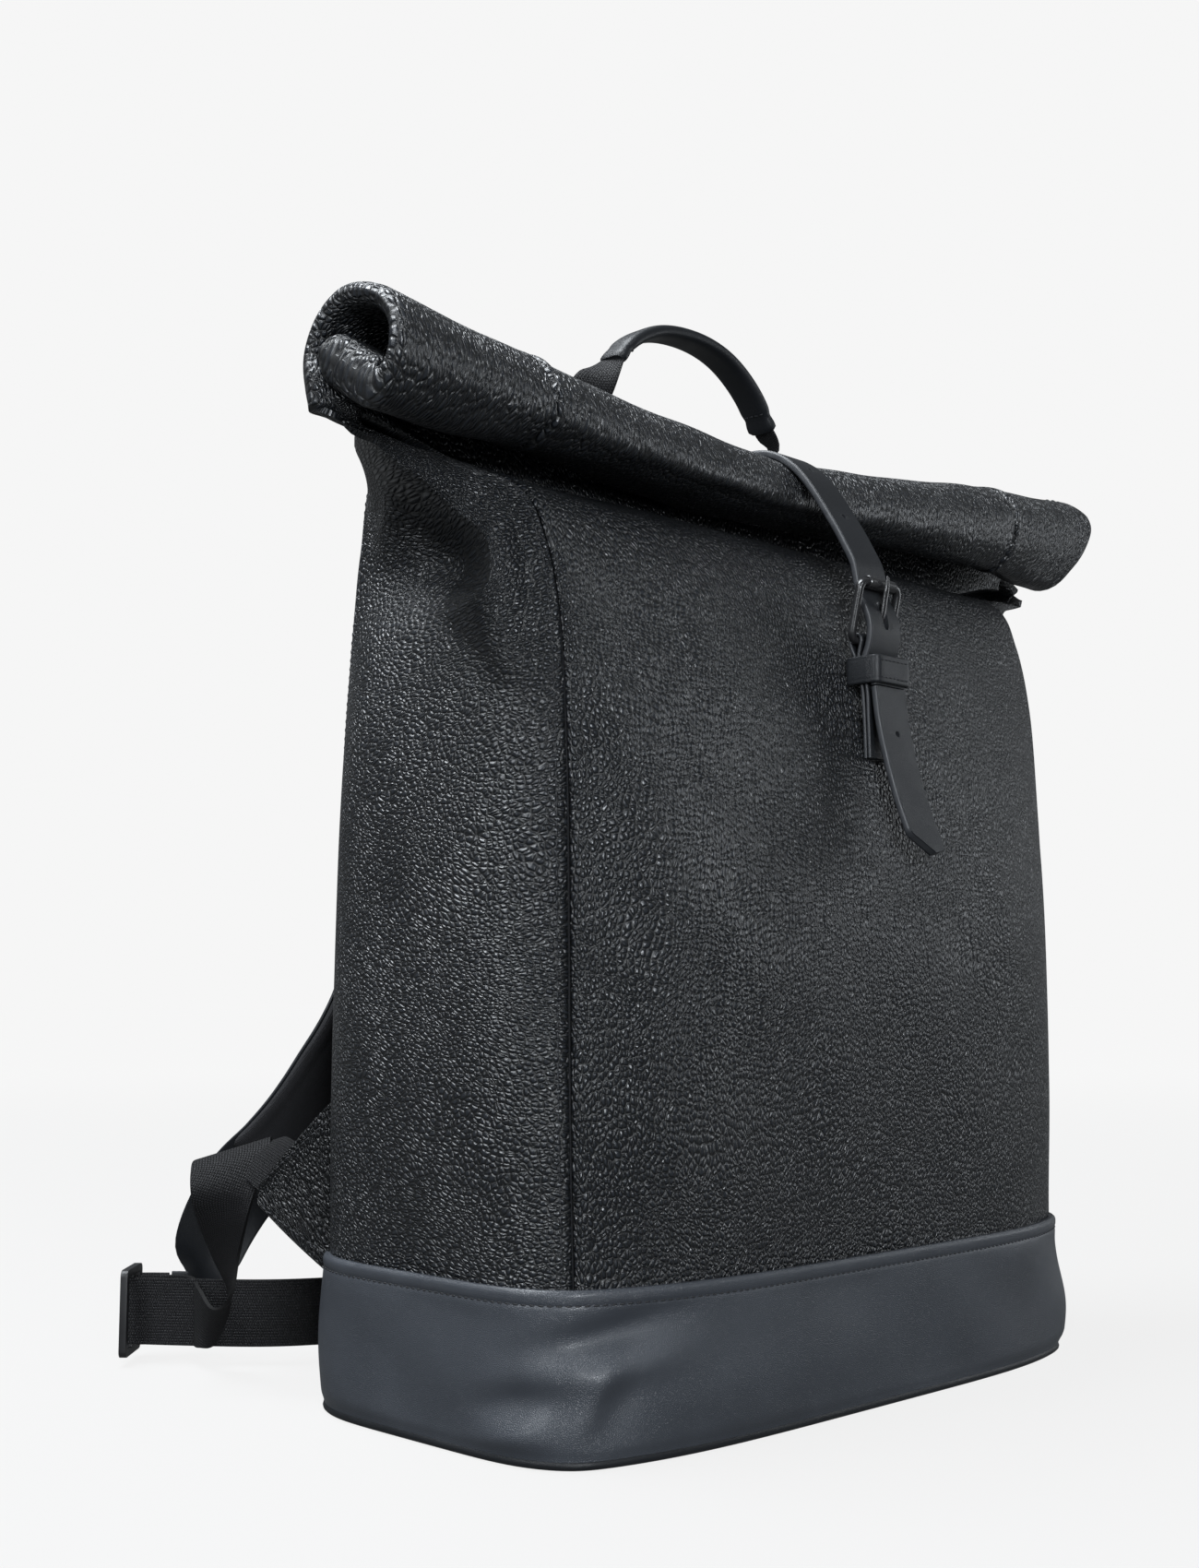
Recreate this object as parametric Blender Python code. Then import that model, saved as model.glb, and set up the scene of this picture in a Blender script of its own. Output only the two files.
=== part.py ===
"""A roll-top leather backpack: a soft box of four leather panels on a smooth base band.

The mouth is flattened and rolled forward, held by a strap with a roller buckle.
It has a carry handle and two shoulder straps with ladder locks. Metres, +Z up.
The bag faces -Y, with the origin at the centre of its base, on the floor.
"""

import math

import bmesh
import bpy
import numpy as np
from mathutils import Vector

# ---- driving dimensions -------------------------------------------------------
GAP = 0.0003  # clearance between pieces that touch
LEATHER = 0.0022  # body leather
STRAP_LEATHER = 0.0032  # closure strap, doubled and stitched
WEB = 0.0015  # webbing thickness

FLOOR_PLATE = 0.0022  # bottom panel
BAND_TOP = 0.061  # upper edge of the base band
BAND_THICK = 0.0017
BAND_GAP = 0.0008  # between the band and the panels behind it
PANEL_TUCK = 0.010  # how far the panels reach down behind the band
PIPING_R = 0.0018

COLLAR_HALF = 0.234  # half the length of the roll
COLLAR_THICK_END = 0.0085
COLLAR_THICK_MID = 0.0062

STRAP_W = 0.020
HANDLE_W = 0.016
HANDLE_X = 0.062  # webbing ends of the handle, either side of the middle
WEB_W = 0.030  # adjusting webbing
SHOULDER_W = 0.046
LOCK_W = 0.038

# The body in nine rows from the base to the neck. Each row gives a height and a place
# for the middle of the front, the front seam, the middle of the side, and the back.
ROW_KEYS = ("t", "z_front", "y_front", "z_seam", "y_seam", "x_seam",
            "z_side", "y_side", "x_side", "sharp", "z_back", "y_back_seam", "y_back")
ROWS = (
    (0.00, .0045, -.0850, .0045, -.0720, .154, .0045, .000, .1665, 5.6, .0045, .072, .085),
    (0.16, .0610, -.0890, .0610, -.0700, .155, .0610, .000, .1685, 5.2, .0610, .071, .087),
    (0.32, .1200, -.0960, .1200, -.0700, .157, .1200, .000, .172, 4.8, .1200, .069, .087),
    (0.48, .1900, -.1005, .1900, -.0690, .157, .1900, .000, .174, 4.6, .1900, .067, .086),
    (0.62, .2500, -.0920, .2500, -.0680, .157, .2500, .000, .173, 4.2, .2500, .065, .083),
    (0.74, .3000, -.0795, .3000, -.0655, .158, .3000, .001, .168, 3.2, .3050, .061, .079),
    (0.84, .3320, -.0680, .3320, -.0590, .159, .3320, .003, .162, 2.4, .3450, .056, .073),
    (0.93, .3520, -.0520, .3530, -.0480, .161, .3560, -.003, .190, 2.2, .3750, .040, .056),
    (1.00, .3640, -.0260, .3650, -.0240, .164, .3640, -.0135, .230, 3.0, .3890, .002, -.004),
)
NECK_Y = -.0135  # middle of the flattened mouth

# Middle line of the rolled mouth in (y, z), from the neck up, over, down and in.
ROLL = ((-.0135, .3700), (-.0135, .3860), (-.0165, .3970), (-.0255, .4060), (-.0380, .4095),
        (-.0510, .4045), (-.0600, .3940), (-.0610, .3820), (-.0545, .3745), (-.0440, .3730))
HEM = ((-.0400, .3735), (-.0320, .3765), (-.0270, .3840), (-.0290, .3925))
# How far the roll stands above or below that line along its length.
ROLL_RISE = ((-.234, .000), (-.159, -.004), (-.084, -.010), (.0, -.0130), (.08, -.006),
             (.155, .003), (.234, .010))


# ---- materials ----------------------------------------------------------------
def material(name, colour, roughness, metallic=0.0):
    made = bpy.data.materials.new(name)
    made.use_nodes = True
    shader = made.node_tree.nodes["Principled BSDF"]
    shader.inputs["Base Color"].default_value = (*colour, 1.0)
    shader.inputs["Roughness"].default_value = roughness
    shader.inputs["Metallic"].default_value = metallic
    return made


def make_materials():
    return {
        "pebbled_leather": material("pebbled_leather", (0.020, 0.022, 0.025), 0.42),
        "smooth_leather": material("smooth_leather", (0.024, 0.026, 0.030), 0.36),
        "webbing": material("webbing", (0.012, 0.012, 0.013), 0.75),
        "lining": material("lining", (0.030, 0.031, 0.034), 0.85),
        "foam": material("foam", (0.050, 0.050, 0.052), 0.95),
        "board": material("board", (0.060, 0.055, 0.050), 0.90),
        "black_metal": material("black_metal", (0.015, 0.015, 0.016), 0.30, 0.9),
        "black_plastic": material("black_plastic", (0.012, 0.012, 0.013), 0.45),
    }


# ---- curves -------------------------------------------------------------------
def smooth(knots, values, at):
    """Smooth curve through values at the knots, read at the given places."""
    knots = np.asarray(knots, float)
    values = np.asarray(values, float)
    at = np.clip(np.asarray(at, float), knots[0], knots[-1])
    slopes = np.gradient(values, knots, axis=0)
    i = np.clip(np.searchsorted(knots, at, side="right") - 1, 0, len(knots) - 2)
    step = knots[i + 1] - knots[i]
    s = (at - knots[i]) / step
    shape = s.shape + (1,) * (values.ndim - 1)
    s, step = s.reshape(shape), step.reshape(shape)
    return (values[i] * (2 * s**3 - 3 * s**2 + 1) + slopes[i] * step * (s**3 - 2 * s**2 + s)
            + values[i + 1] * (3 * s**2 - 2 * s**3) + slopes[i + 1] * step * (s**3 - s**2))


def spread(points, count):
    """Evenly spaced points along the smooth curve through the given points."""
    points = np.asarray(points, float)
    along = np.concatenate([[0], np.cumsum(np.linalg.norm(np.diff(points, axis=0), axis=1))])
    fine = smooth(along, points, np.linspace(0, along[-1], 40 * len(points)))
    length = np.concatenate([[0], np.cumsum(np.linalg.norm(np.diff(fine, axis=0), axis=1))])
    wanted = np.linspace(0, length[-1], count)
    columns = [np.interp(wanted, length, fine[:, k]) for k in range(fine.shape[1])]
    return np.stack(columns, axis=1)


def unit(vectors):
    return vectors / np.linalg.norm(vectors, axis=-1, keepdims=True)


# ---- meshes -------------------------------------------------------------------
def add_mesh(name, points, faces, look):
    mesh = bpy.data.meshes.new(name)
    mesh.from_pydata([tuple(p) for p in points], [], faces)
    mesh.validate()
    work = bmesh.new()
    work.from_mesh(mesh)
    bmesh.ops.recalc_face_normals(work, faces=work.faces)
    work.to_mesh(mesh)
    work.free()
    mesh.materials.append(look)
    mesh.shade_smooth()
    mesh.set_sharp_from_angle(angle=math.radians(35))
    made = bpy.data.objects.new(name, mesh)
    bpy.context.scene.collection.objects.link(made)
    return made


def sweep(name, centres, across, section, look, closed=False, scale=None):
    """A solid of the given section carried along a line of centres.

    section is a list of (along the across vector, along the normal) offsets.
    """
    centres = np.asarray(centres, float)
    if closed:
        tangents = unit(np.roll(centres, -1, axis=0) - np.roll(centres, 1, axis=0))
    else:
        tangents = unit(np.gradient(centres, axis=0))
    across = np.broadcast_to(np.asarray(across, float), centres.shape)
    across = unit(across - tangents * np.sum(across * tangents, axis=1, keepdims=True))
    normals = np.cross(tangents, across)
    scale = np.ones(len(centres)) if scale is None else np.asarray(scale)
    rings = [c + k * (a * u + b * n)
             for c, u, n, k in zip(centres, across, normals, scale) for a, b in section]
    size = len(section)
    count = len(centres)
    faces = []
    for i in range(count if closed else count - 1):
        j = (i + 1) % count
        for k in range(size):
            m = (k + 1) % size
            faces.append((i * size + k, i * size + m, j * size + m, j * size + k))
    if not closed:
        faces.append(tuple(range(size)))
        faces.append(tuple(reversed(range((count - 1) * size, count * size))))
    return add_mesh(name, rings, faces, look)


def flat_section(width, thick):
    return [(-width / 2, -thick / 2), (width / 2, -thick / 2),
            (width / 2, thick / 2), (-width / 2, thick / 2)]


def round_section(width, thick, sides=10):
    """A flat section with rounded edges, narrower than a full ellipse at its ends."""
    angles = np.linspace(0, 2 * math.pi, sides, endpoint=False) + math.pi / sides
    return [(width / 2 * np.sign(math.cos(a)) * abs(math.cos(a)) ** 0.45,
             thick / 2 * np.sign(math.sin(a)) * abs(math.sin(a)) ** 0.8) for a in angles]


def circle_section(radius, sides=10):
    angles = np.linspace(0, 2 * math.pi, sides, endpoint=False)
    return [(radius * math.cos(a), radius * math.sin(a)) for a in angles]


def cut(piece, cutter):
    """Cuts one object out of another and drops the cutter."""
    modifier = piece.modifiers.new("cut", "BOOLEAN")
    modifier.object = cutter
    modifier.operation = "DIFFERENCE"
    cutter.hide_render = True
    cutter.display_type = "WIRE"


def rod(name, start, end, radius, look, sides=12):
    ends = np.array([start, end], float)
    along = unit(ends[1] - ends[0])
    across = (1, 0, 0) if abs(along[0]) < 0.9 else (0, 1, 0)
    return sweep(name, ends, across, circle_section(radius, sides), look)


# ---- the body surface ---------------------------------------------------------
def row_value(key, t):
    column = ROW_KEYS.index(key)
    return smooth([row[0] for row in ROWS], [row[column] for row in ROWS], t)


def body_point(u, t):
    """A point of the outer leather. u runs round the bag: 0 to 1 the front from its left
    seam to its right, 1 to 2 the right side, 2 to 3 the back, 3 to 4 the left side.
    t runs up it, from 0 at the base to 1 at the neck."""
    u = np.mod(np.asarray(u, float), 4.0)
    t = np.clip(np.asarray(t, float), 0.0, 1.0)
    u, t = np.broadcast_arrays(u, t)
    row = {key: row_value(key, t) for key in ROW_KEYS}
    face = np.floor(u).astype(int)
    s = 2 * (u - face) - 1
    round_front = 1 - np.abs(s) ** 4.6
    round_side = 1 - np.abs(s) ** row["sharp"]
    turn = np.where(face == 3, -s, s)  # along a side, from its front seam to its back seam
    side_x = row["x_seam"] + (row["x_side"] - row["x_seam"]) * round_side
    seam_mix = (turn + 1) / 2
    side_y = row["y_seam"] + (row["y_back_seam"] - row["y_seam"]) * seam_mix
    middle_y = (row["y_seam"] + row["y_back_seam"]) / 2
    side_y = side_y + (row["y_side"] - middle_y) * (1 - turn**2)
    side_z = row["z_seam"] + (row["z_back"] - row["z_seam"]) * seam_mix
    middle_z = (row["z_seam"] + row["z_back"]) / 2
    side_z = side_z + (row["z_side"] - middle_z) * (1 - turn**2)
    x = np.choose(face, [row["x_seam"] * s, side_x, -row["x_seam"] * s, -side_x])
    y = np.choose(face, [row["y_seam"] + (row["y_front"] - row["y_seam"]) * round_front, side_y,
                         row["y_back_seam"] + (row["y_back"] - row["y_back_seam"]) * round_front,
                         side_y])
    z = np.choose(face, [row["z_seam"] + (row["z_front"] - row["z_seam"]) * round_front, side_z,
                         row["z_back"], side_z])
    return np.stack([x, y, z], axis=-1)


def body_offset(u, t, depth):
    """A point that lies depth inside the outer leather (outside it, where depth is negative)."""
    u, t, depth = np.broadcast_arrays(*(np.asarray(v, float) for v in (u, t, depth)))
    low, high = np.clip(t - 0.01, 0, 1), np.clip(t + 0.01, 0, 1)
    around = body_point(u + 0.03, t) - body_point(u - 0.03, t)
    upward = body_point(u, high) - body_point(u, low)
    outward = unit(np.cross(around, upward))
    return body_point(u, t) - outward * depth[..., None]


def t_at_height(z):
    """The t at which the middle of the front reaches this height."""
    places = np.linspace(0, 1, 400)
    return float(np.interp(z, row_value("z_front", places), places))


def t_at_back(z):
    places = np.linspace(0, 1, 400)
    return float(np.interp(z, row_value("z_back", places), places))


def slab(name, us, ts, outer, inner, look):
    """A sheet of the body between two depths. outer and inner may be functions of u."""
    uu, tt = np.meshgrid(us, ts)
    depths = [d(uu) if callable(d) else np.full(uu.shape, d) for d in (outer, inner)]
    sheets = [body_offset(uu, tt, depth).reshape(-1, 3) for depth in depths]
    rows, columns = uu.shape
    half = rows * columns
    faces = []
    for i in range(rows - 1):
        for j in range(columns - 1):
            a = i * columns + j
            quad = (a, a + 1, a + columns + 1, a + columns)
            faces.append(quad)
            faces.append(tuple(half + k for k in reversed(quad)))
    border = ([j for j in range(columns - 1)]
              + [i * columns + columns - 1 for i in range(rows - 1)]
              + [(rows - 1) * columns + j for j in range(columns - 1, 0, -1)]
              + [i * columns for i in range(rows - 1, 0, -1)])
    for a, b in zip(border, border[1:] + border[:1]):
        faces.append((a, half + a, half + b, b))
    return add_mesh(name, np.concatenate(sheets), faces, look)


def ring_slab(name, us, ts, outer, inner, look, floor=None):
    """A sheet that goes all the way round the body. With a floor it is a cup, whose
    floor is that thick."""
    uu, tt = np.meshgrid(us, ts)
    depths = [d(uu) if callable(d) else np.full(uu.shape, d) for d in (outer, inner)]
    sheets = [body_offset(uu, tt, depth) for depth in depths]
    if floor is not None:
        sheets[1][0, :, 2] = sheets[0][0, :, 2] + floor
    rows, columns = uu.shape
    half = rows * columns
    faces = []
    for i in range(rows - 1):
        for j in range(columns):
            k = (j + 1) % columns
            quad = (i * columns + j, i * columns + k, (i + 1) * columns + k, (i + 1) * columns + j)
            faces.append(quad)
            faces.append(tuple(half + m for m in reversed(quad)))
    for i in (0, rows - 1):
        if i == 0 and floor is not None:
            faces.append(tuple(range(columns - 1, -1, -1)))
            faces.append(tuple(half + j for j in range(columns)))
            continue
        for j in range(columns):
            a, b = i * columns + j, i * columns + (j + 1) % columns
            faces.append((a, half + a, half + b, b))
    return add_mesh(name, np.concatenate([s.reshape(-1, 3) for s in sheets]), faces, look)


def plate(name, inset, low, high, look):
    """A flat plate with the outline of the bag's base, drawn in by inset."""
    us = np.concatenate([face + corner_spaced(10) for face in range(4)])
    outline = body_offset(us, 0.0, inset)
    count = len(outline)
    points = np.concatenate([outline, outline])
    points[:count, 2], points[count:, 2] = low, high
    faces = [tuple(range(count - 1, -1, -1)), tuple(range(count, 2 * count))]
    for i in range(count):
        j = (i + 1) % count
        faces.append((i, j, count + j, count + i))
    return add_mesh(name, points, faces, look)


def corner_spaced(count, start=0.0, end=1.0):
    """Places along one face of the body, closer together near its seams."""
    even = np.linspace(0, 1, count, endpoint=False)
    eased = 0.5 - 0.5 * np.cos(math.pi * even)
    return start + (end - start) * (0.35 * even + 0.65 * eased)


def panel_columns(face, count):
    """Columns of one panel, which stops just short of its two seams."""
    margin = 0.0022
    spaced = np.append(corner_spaced(count), 1.0)
    return face + margin + (1 - 2 * margin) * spaced


# ---- body pieces --------------------------------------------------------------
def make_body(looks):
    pebbled, smooth_leather = looks["pebbled_leather"], looks["smooth_leather"]
    low = t_at_height(BAND_TOP - PANEL_TUCK)
    wall = np.concatenate([np.linspace(low, 0.68, 7), np.linspace(0.74, 1.0, 8)])
    slab("front_panel", panel_columns(0, 14), wall, 0, LEATHER, pebbled)
    slab("right_gusset", panel_columns(1, 12), wall, 0, LEATHER, pebbled)
    slab("back_panel", panel_columns(2, 12), wall, 0, LEATHER, pebbled)
    slab("left_gusset", panel_columns(3, 12), wall, 0, LEATHER, pebbled)

    around = np.concatenate([face + corner_spaced(12) for face in range(4)])
    band = np.linspace(0, t_at_height(BAND_TOP), 5)
    ring_slab("base_band", around, band, -BAND_GAP - BAND_THICK, -BAND_GAP, smooth_leather)

    plate("bottom_panel", 0.0035, 0.0, FLOOR_PLATE, smooth_leather)
    plate("base_board", 0.0040, FLOOR_PLATE + GAP, FLOOR_PLATE + GAP + 0.0016, looks["board"])
    edge = body_offset(np.concatenate([face + corner_spaced(10) for face in range(4)]), 0.0, 0.0)
    edge[:, 2] = PIPING_R + 0.0003
    sweep("bottom_piping", edge, (0, 0, 1), circle_section(PIPING_R, 6), smooth_leather,
          closed=True)

    def lining_depth(u):
        """Deeper at the back, where the padding lies between it and the panel."""
        s = np.clip((np.mod(u, 4.0) - 2.0), 0, 1)
        over_back = np.clip(np.minimum(s, 1 - s) / 0.10, 0, 1)
        return LEATHER + 0.0012 + 0.0058 * over_back * over_back * (3 - 2 * over_back)

    def lining_inside(u):
        return lining_depth(u) + 0.0008

    cup = np.concatenate([[t_at_height(0.0052), 0.07], wall[:9]])
    us = np.concatenate([face + corner_spaced(8) for face in range(4)])
    ring_slab("lining", us, cup, lining_depth, lining_inside, looks["lining"], floor=0.0008)
    slab("back_foam", np.linspace(2.12, 2.88, 7), np.linspace(0.12, 0.74, 7),
         LEATHER + 2 * GAP, LEATHER + 2 * GAP + 0.0050, looks["foam"])


# ---- the rolled mouth -----------------------------------------------------------
def roll_rise(x):
    return smooth([p[0] for p in ROLL_RISE], [p[1] for p in ROLL_RISE], x)


def roll_section(line, count, x):
    """The middle line of the roll in (y, z) at a place along its length: it stands higher
    or lower there, the strap pulls it in at the middle, and its ends clear the ears."""
    centre = spread(line, count)
    height = np.clip((centre[:, 1] - 0.370) / 0.02, 0, 1)
    pulled = 1 - 0.08 * math.exp(-((x / 0.05) ** 2))
    ear = 0.002 * np.clip((abs(x) - 0.165) / 0.05, 0, 1)
    on_neck = np.clip((0.388 - centre[:, 1]) / 0.018, 0, 1) * (centre[:, 0] > -0.016)
    centre[:, 0] = NECK_Y + (centre[:, 0] - NECK_Y) * pulled
    centre[:, 1] += roll_rise(x) * height + ear * on_neck
    return centre


def end_slant(x, z):
    """The right end of the roll is slanted: lower down, it stops shorter."""
    return 0.65 * np.clip((x - 0.14) / 0.094, 0, 1) * np.clip(0.412 - z, 0, 0.045)


def make_collar(looks):
    """The flattened mouth, rolled forward on itself, with its hem inside the roll."""
    def rolled(name, line, thick_end, thick_mid, count, end_round, look):
        stations = np.linspace(-1, 1, 15)
        xs = COLLAR_HALF * np.sin(stations * math.pi / 2 * 0.96) / math.sin(math.pi / 2 * 0.96)
        points = []
        for x in xs:
            far = abs(x) / COLLAR_HALF
            thick = thick_mid + (thick_end - thick_mid) * far**2
            if end_round and far > 0.999:
                thick *= 0.55
            centre = roll_section(line, count, x)
            tangent = unit(np.gradient(centre, axis=0))
            normal = np.stack([-tangent[:, 1], tangent[:, 0]], axis=1)
            for side in (1, -1):
                points += [(x - end_slant(x, z), y, z)
                           for y, z in centre + side * normal * thick / 2]
        ring = 2 * count
        order = list(range(count)) + list(range(2 * count - 1, count - 1, -1))
        faces = [tuple(order), tuple(reversed([(len(xs) - 1) * ring + k for k in order]))]
        for i in range(len(xs) - 1):
            for a, b in zip(order, order[1:] + order[:1]):
                faces.append((i * ring + a, i * ring + b, (i + 1) * ring + b, (i + 1) * ring + a))
        return add_mesh(name, points, faces, look)

    rolled("rolled_collar", ROLL, COLLAR_THICK_END, COLLAR_THICK_MID, 20, True,
           looks["pebbled_leather"])
    rolled("mouth_hem", HEM, 0.0105, 0.0072, 8, True, looks["pebbled_leather"])


# ---- closure strap and buckle ---------------------------------------------------
HEEL = np.array([0, -.0868, .3095])  # heel bar of the buckle
ROLLER = np.array([0, -.0925, .3335])  # roller bar
BAR_R = 0.0016
ROLLER_R = 0.0027
FRAME_HALF = 0.0128  # from the middle of the buckle to the middle of a side bar
CHAPE_LEATHER = 0.0016


def buckle_point(along, out, x=0.0):
    """A point given in the buckle: along from the heel bar to the roller, out to the front."""
    axis = unit(ROLLER - HEEL)
    front = np.array([0, -axis[2], axis[1]])
    return HEEL + axis * along + front * out + np.array([x, 0, 0])


def strap_line():
    """Middle line of the closure strap, from the yoke on the back to the keeper."""
    half = STRAP_LEATHER / 2
    roll = roll_section(ROLL, 40, 0.0)
    outward = unit(np.gradient(roll, axis=0)) @ np.array([[0, -1], [1, 0]])
    outside = roll + outward * (COLLAR_THICK_MID / 2 + half + 0.0015)
    held = [(0, y, z) for y, z in outside[13:24:2]]
    sewn = body_offset(2.5, np.linspace(t_at_back(0.3690), 0.985, 6), -half - 3 * GAP)
    over = [(0, y, z) for _, y, z in sewn] + [(0, -.0040, .3950)] + held
    over += [(0, -.0745, .3650), (0, -.0815, .3515), (0, -.0862, .3420)]
    through = [buckle_point(.0247, -ROLLER_R - GAP - half - .0004),
               buckle_point(.0190, -.0024), buckle_point(.0125, .0030),
               buckle_point(.0060, .0062), buckle_point(-.0010, .0068),
               buckle_point(-.0080, .0062)]
    down = [(0, -.0956, .2950), (0, -.0958, .2900)]
    return over + through + down


TAIL = ((0, -.0959, .2893), (0, -.0975, .2760), (0, -.1010, .2600), (0, -.1070, .2400),
        (0, -.1150, .2200))
TAIL_HINGE = np.array([0, -.0977, .2893])  # where the free tail bends, on the strap's face


def make_closure(looks):
    leather, metal = looks["smooth_leather"], looks["black_metal"]
    line = spread(strap_line(), 64)
    strap = sweep("closure_strap", line, (1, 0, 0), flat_section(STRAP_W, STRAP_LEATHER), leather)
    start, end = buckle_point(.0035, .0044), buckle_point(.0235, .0042)
    slot = sweep("prong_slot_cutter", [start + (start - end) * .1, end], (1, 0, 0),
                 round_section(.0042, .0068, 12), leather)
    cut(strap, slot)
    for number, place in enumerate(((0, -.0740, .3655), (0, -.0560, .3895))):
        index = int(np.argmin(np.linalg.norm(line - np.array(place), axis=1)))
        out = unit(np.cross(line[index + 1] - line[index - 1], (1, 0, 0)))
        hole = rod(f"hole_cutter_{number}", line[index] - out * .004, line[index] + out * .004,
                   .0012, leather, 8)
        cut(strap, hole)

    tail_line = spread(TAIL, 16)
    tail = sweep("strap_tail", tail_line, (1, 0, 0), flat_section(STRAP_W, STRAP_LEATHER), leather)
    out = unit(np.cross(tail_line[5] - tail_line[3], (1, 0, 0)))
    cut(tail, rod("tail_hole_cutter", tail_line[4] - out * .004, tail_line[4] + out * .004,
                  .0012, leather, 8))
    shift_origin(tail, TAIL_HINGE)

    # Chape: a doubled strip round the heel bar, sewn to the front panel below it.
    wrap = BAR_R + GAP + CHAPE_LEATHER / 2
    front_leg = [(0, -.0929, .2600), (0, -.0925, .2750), (0, -.0918, .2900),
                 tuple(buckle_point(-.0060, wrap))]
    turn = [tuple(buckle_point(wrap * math.sin(a), wrap * math.cos(a)))
            for a in np.linspace(-.2, math.pi + .2, 9)]
    back_leg = [(0, -.0868, .3010), (0, -.0895, .2900), (0, -.0905, .2750),
                (0, -.0909, .2600)]
    chape = sweep("strap_chape", spread(front_leg + turn + back_leg, 44), (1, 0, 0),
                  flat_section(STRAP_W - .001, CHAPE_LEATHER), leather)
    bar_slot = sweep("chape_slot_cutter", [buckle_point(-.0045, .001), buckle_point(.009, .001)],
                     (1, 0, 0), flat_section(.0052, .0120), leather)
    cut(chape, bar_slot)

    # Keeper: a loop round the chape and the strap.
    half_w, middle = STRAP_W / 2 + .0012, np.array([0, -.0908, .2965])
    depth = .0079
    corners = [(-half_w, -depth), (half_w, -depth), (half_w, depth), (-half_w, depth)]
    ring = rounded_loop(corners, .0022, 3)
    centres = [middle + np.array([x, y, 0]) for x, y in ring]
    sweep("strap_keeper", centres, (0, 0, 1), flat_section(.0115, .0013), leather, closed=True)

    # Buckle frame: side bars and heel in one wire; its top bar carries the roller.
    length = float(np.linalg.norm(ROLLER - HEEL))
    loop = rounded_loop([(-FRAME_HALF, 0), (FRAME_HALF, 0), (FRAME_HALF, length),
                         (-FRAME_HALF, length)], .0030, 3)
    frame = sweep("buckle_frame", [buckle_point(a, 0, x) for x, a in loop], unit(np.cross(
        ROLLER - HEEL, (1, 0, 0))), circle_section(BAR_R, 8), metal, closed=True)
    shift_origin(frame, HEEL)
    roller_tube(metal)
    prong(metal)


def rounded_loop(corners, radius, steps):
    """A closed outline with its corners rounded."""
    corners = np.asarray(corners, float)
    points = []
    for i, corner in enumerate(corners):
        before = unit(corners[i - 1] - corner)
        after = unit(corners[(i + 1) % len(corners)] - corner)
        centre = corner + (before + after) * radius
        for k in range(steps + 1):
            a = k / steps * math.pi / 2
            points.append(centre - after * radius * math.cos(a) - before * radius * math.sin(a))
    return np.array(points)


def roller_tube(look):
    """A tube that turns on the top bar of the buckle."""
    inner, half = BAR_R + .00012, .0086
    sides = 16
    angles = np.linspace(0, 2 * math.pi, sides, endpoint=False)
    profile = [(-half, ROLLER_R), (half, ROLLER_R), (half, inner), (-half, inner)]
    points = [ROLLER + np.array([x, r * math.cos(a), r * math.sin(a)])
              for a in angles for x, r in profile]
    faces = []
    for i in range(sides):
        j = (i + 1) % sides
        for k in range(4):
            m = (k + 1) % 4
            faces.append((4 * i + k, 4 * i + m, 4 * j + m, 4 * j + k))
    made = add_mesh("buckle_roller", points, faces, look)
    shift_origin(made, ROLLER)


def prong(look):
    """A hook: a ring round the heel bar and a bar that reaches over the roller."""
    wrap = BAR_R + .00015 + .0009
    ring = [buckle_point(wrap * math.sin(a), wrap * math.cos(a))
            for a in np.linspace(0.35, 2 * math.pi - .55, 14)]
    tip = [buckle_point(.0285, ROLLER_R + GAP + .0009), buckle_point(.0200, .0040),
           buckle_point(.0120, .0042), buckle_point(.0050, .0034)]
    line = spread([tuple(p) for p in tip] + [tuple(p) for p in ring], 34)
    made = sweep("buckle_prong", line, (1, 0, 0), round_section(.0026, .0018, 8), look)
    shift_origin(made, HEEL)


def shift_origin(piece, place):
    """Moves an object's origin to a point on its joint's axis."""
    place = Vector(place)
    for vertex in piece.data.vertices:
        vertex.co -= place
    piece.location = place


# ---- yoke and handle ------------------------------------------------------------
YOKE_U = (2.24, 2.76)
HANDLE_AXIS = np.array([0, .0643, .3717])


def make_handle(looks):
    low, high = t_at_back(0.318), t_at_back(0.366)
    slab("back_yoke", np.linspace(*YOKE_U, 9), np.linspace(low, high, 7), -.0026, -.0008,
         looks["pebbled_leather"])
    arch = [(-.055, .0205, .4360), (-.045, .0195, .4530), (-.028, .0185, .4665),
            (0, .0180, .4715), (.028, .0185, .4665), (.047, .0195, .4530), (.058, .0205, .4370)]
    grip = sweep("handle_grip", spread(arch, 26), (0, 1, 0), round_section(HANDLE_W, .0062, 10),
                 looks["smooth_leather"])
    shift_origin(grip, HANDLE_AXIS)
    for side, name, top in ((-1, "handle_webbing_left", arch[0]),
                            (1, "handle_webbing_right", arch[-1])):
        top = np.array(top)
        upward = unit(top - np.array(arch[1] if side < 0 else arch[-2]))
        foot = np.array([side * HANDLE_X, HANDLE_AXIS[1], HANDLE_AXIS[2]])
        line = [foot, foot + (0, -.0060, .0140), foot + (side * .001, -.0230, .0400),
                top + upward * .0075, top + upward * .0004]
        acrosses = smooth(np.linspace(0, 1, 3), [(1, .0, .0), (.75, .65, .0), (.1, 1, .0)],
                          np.linspace(0, 1, 18))
        web = sweep(name, spread(line, 18), acrosses, flat_section(.019, .0016),
                    looks["webbing"])
        shift_origin(web, HANDLE_AXIS)


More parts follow.
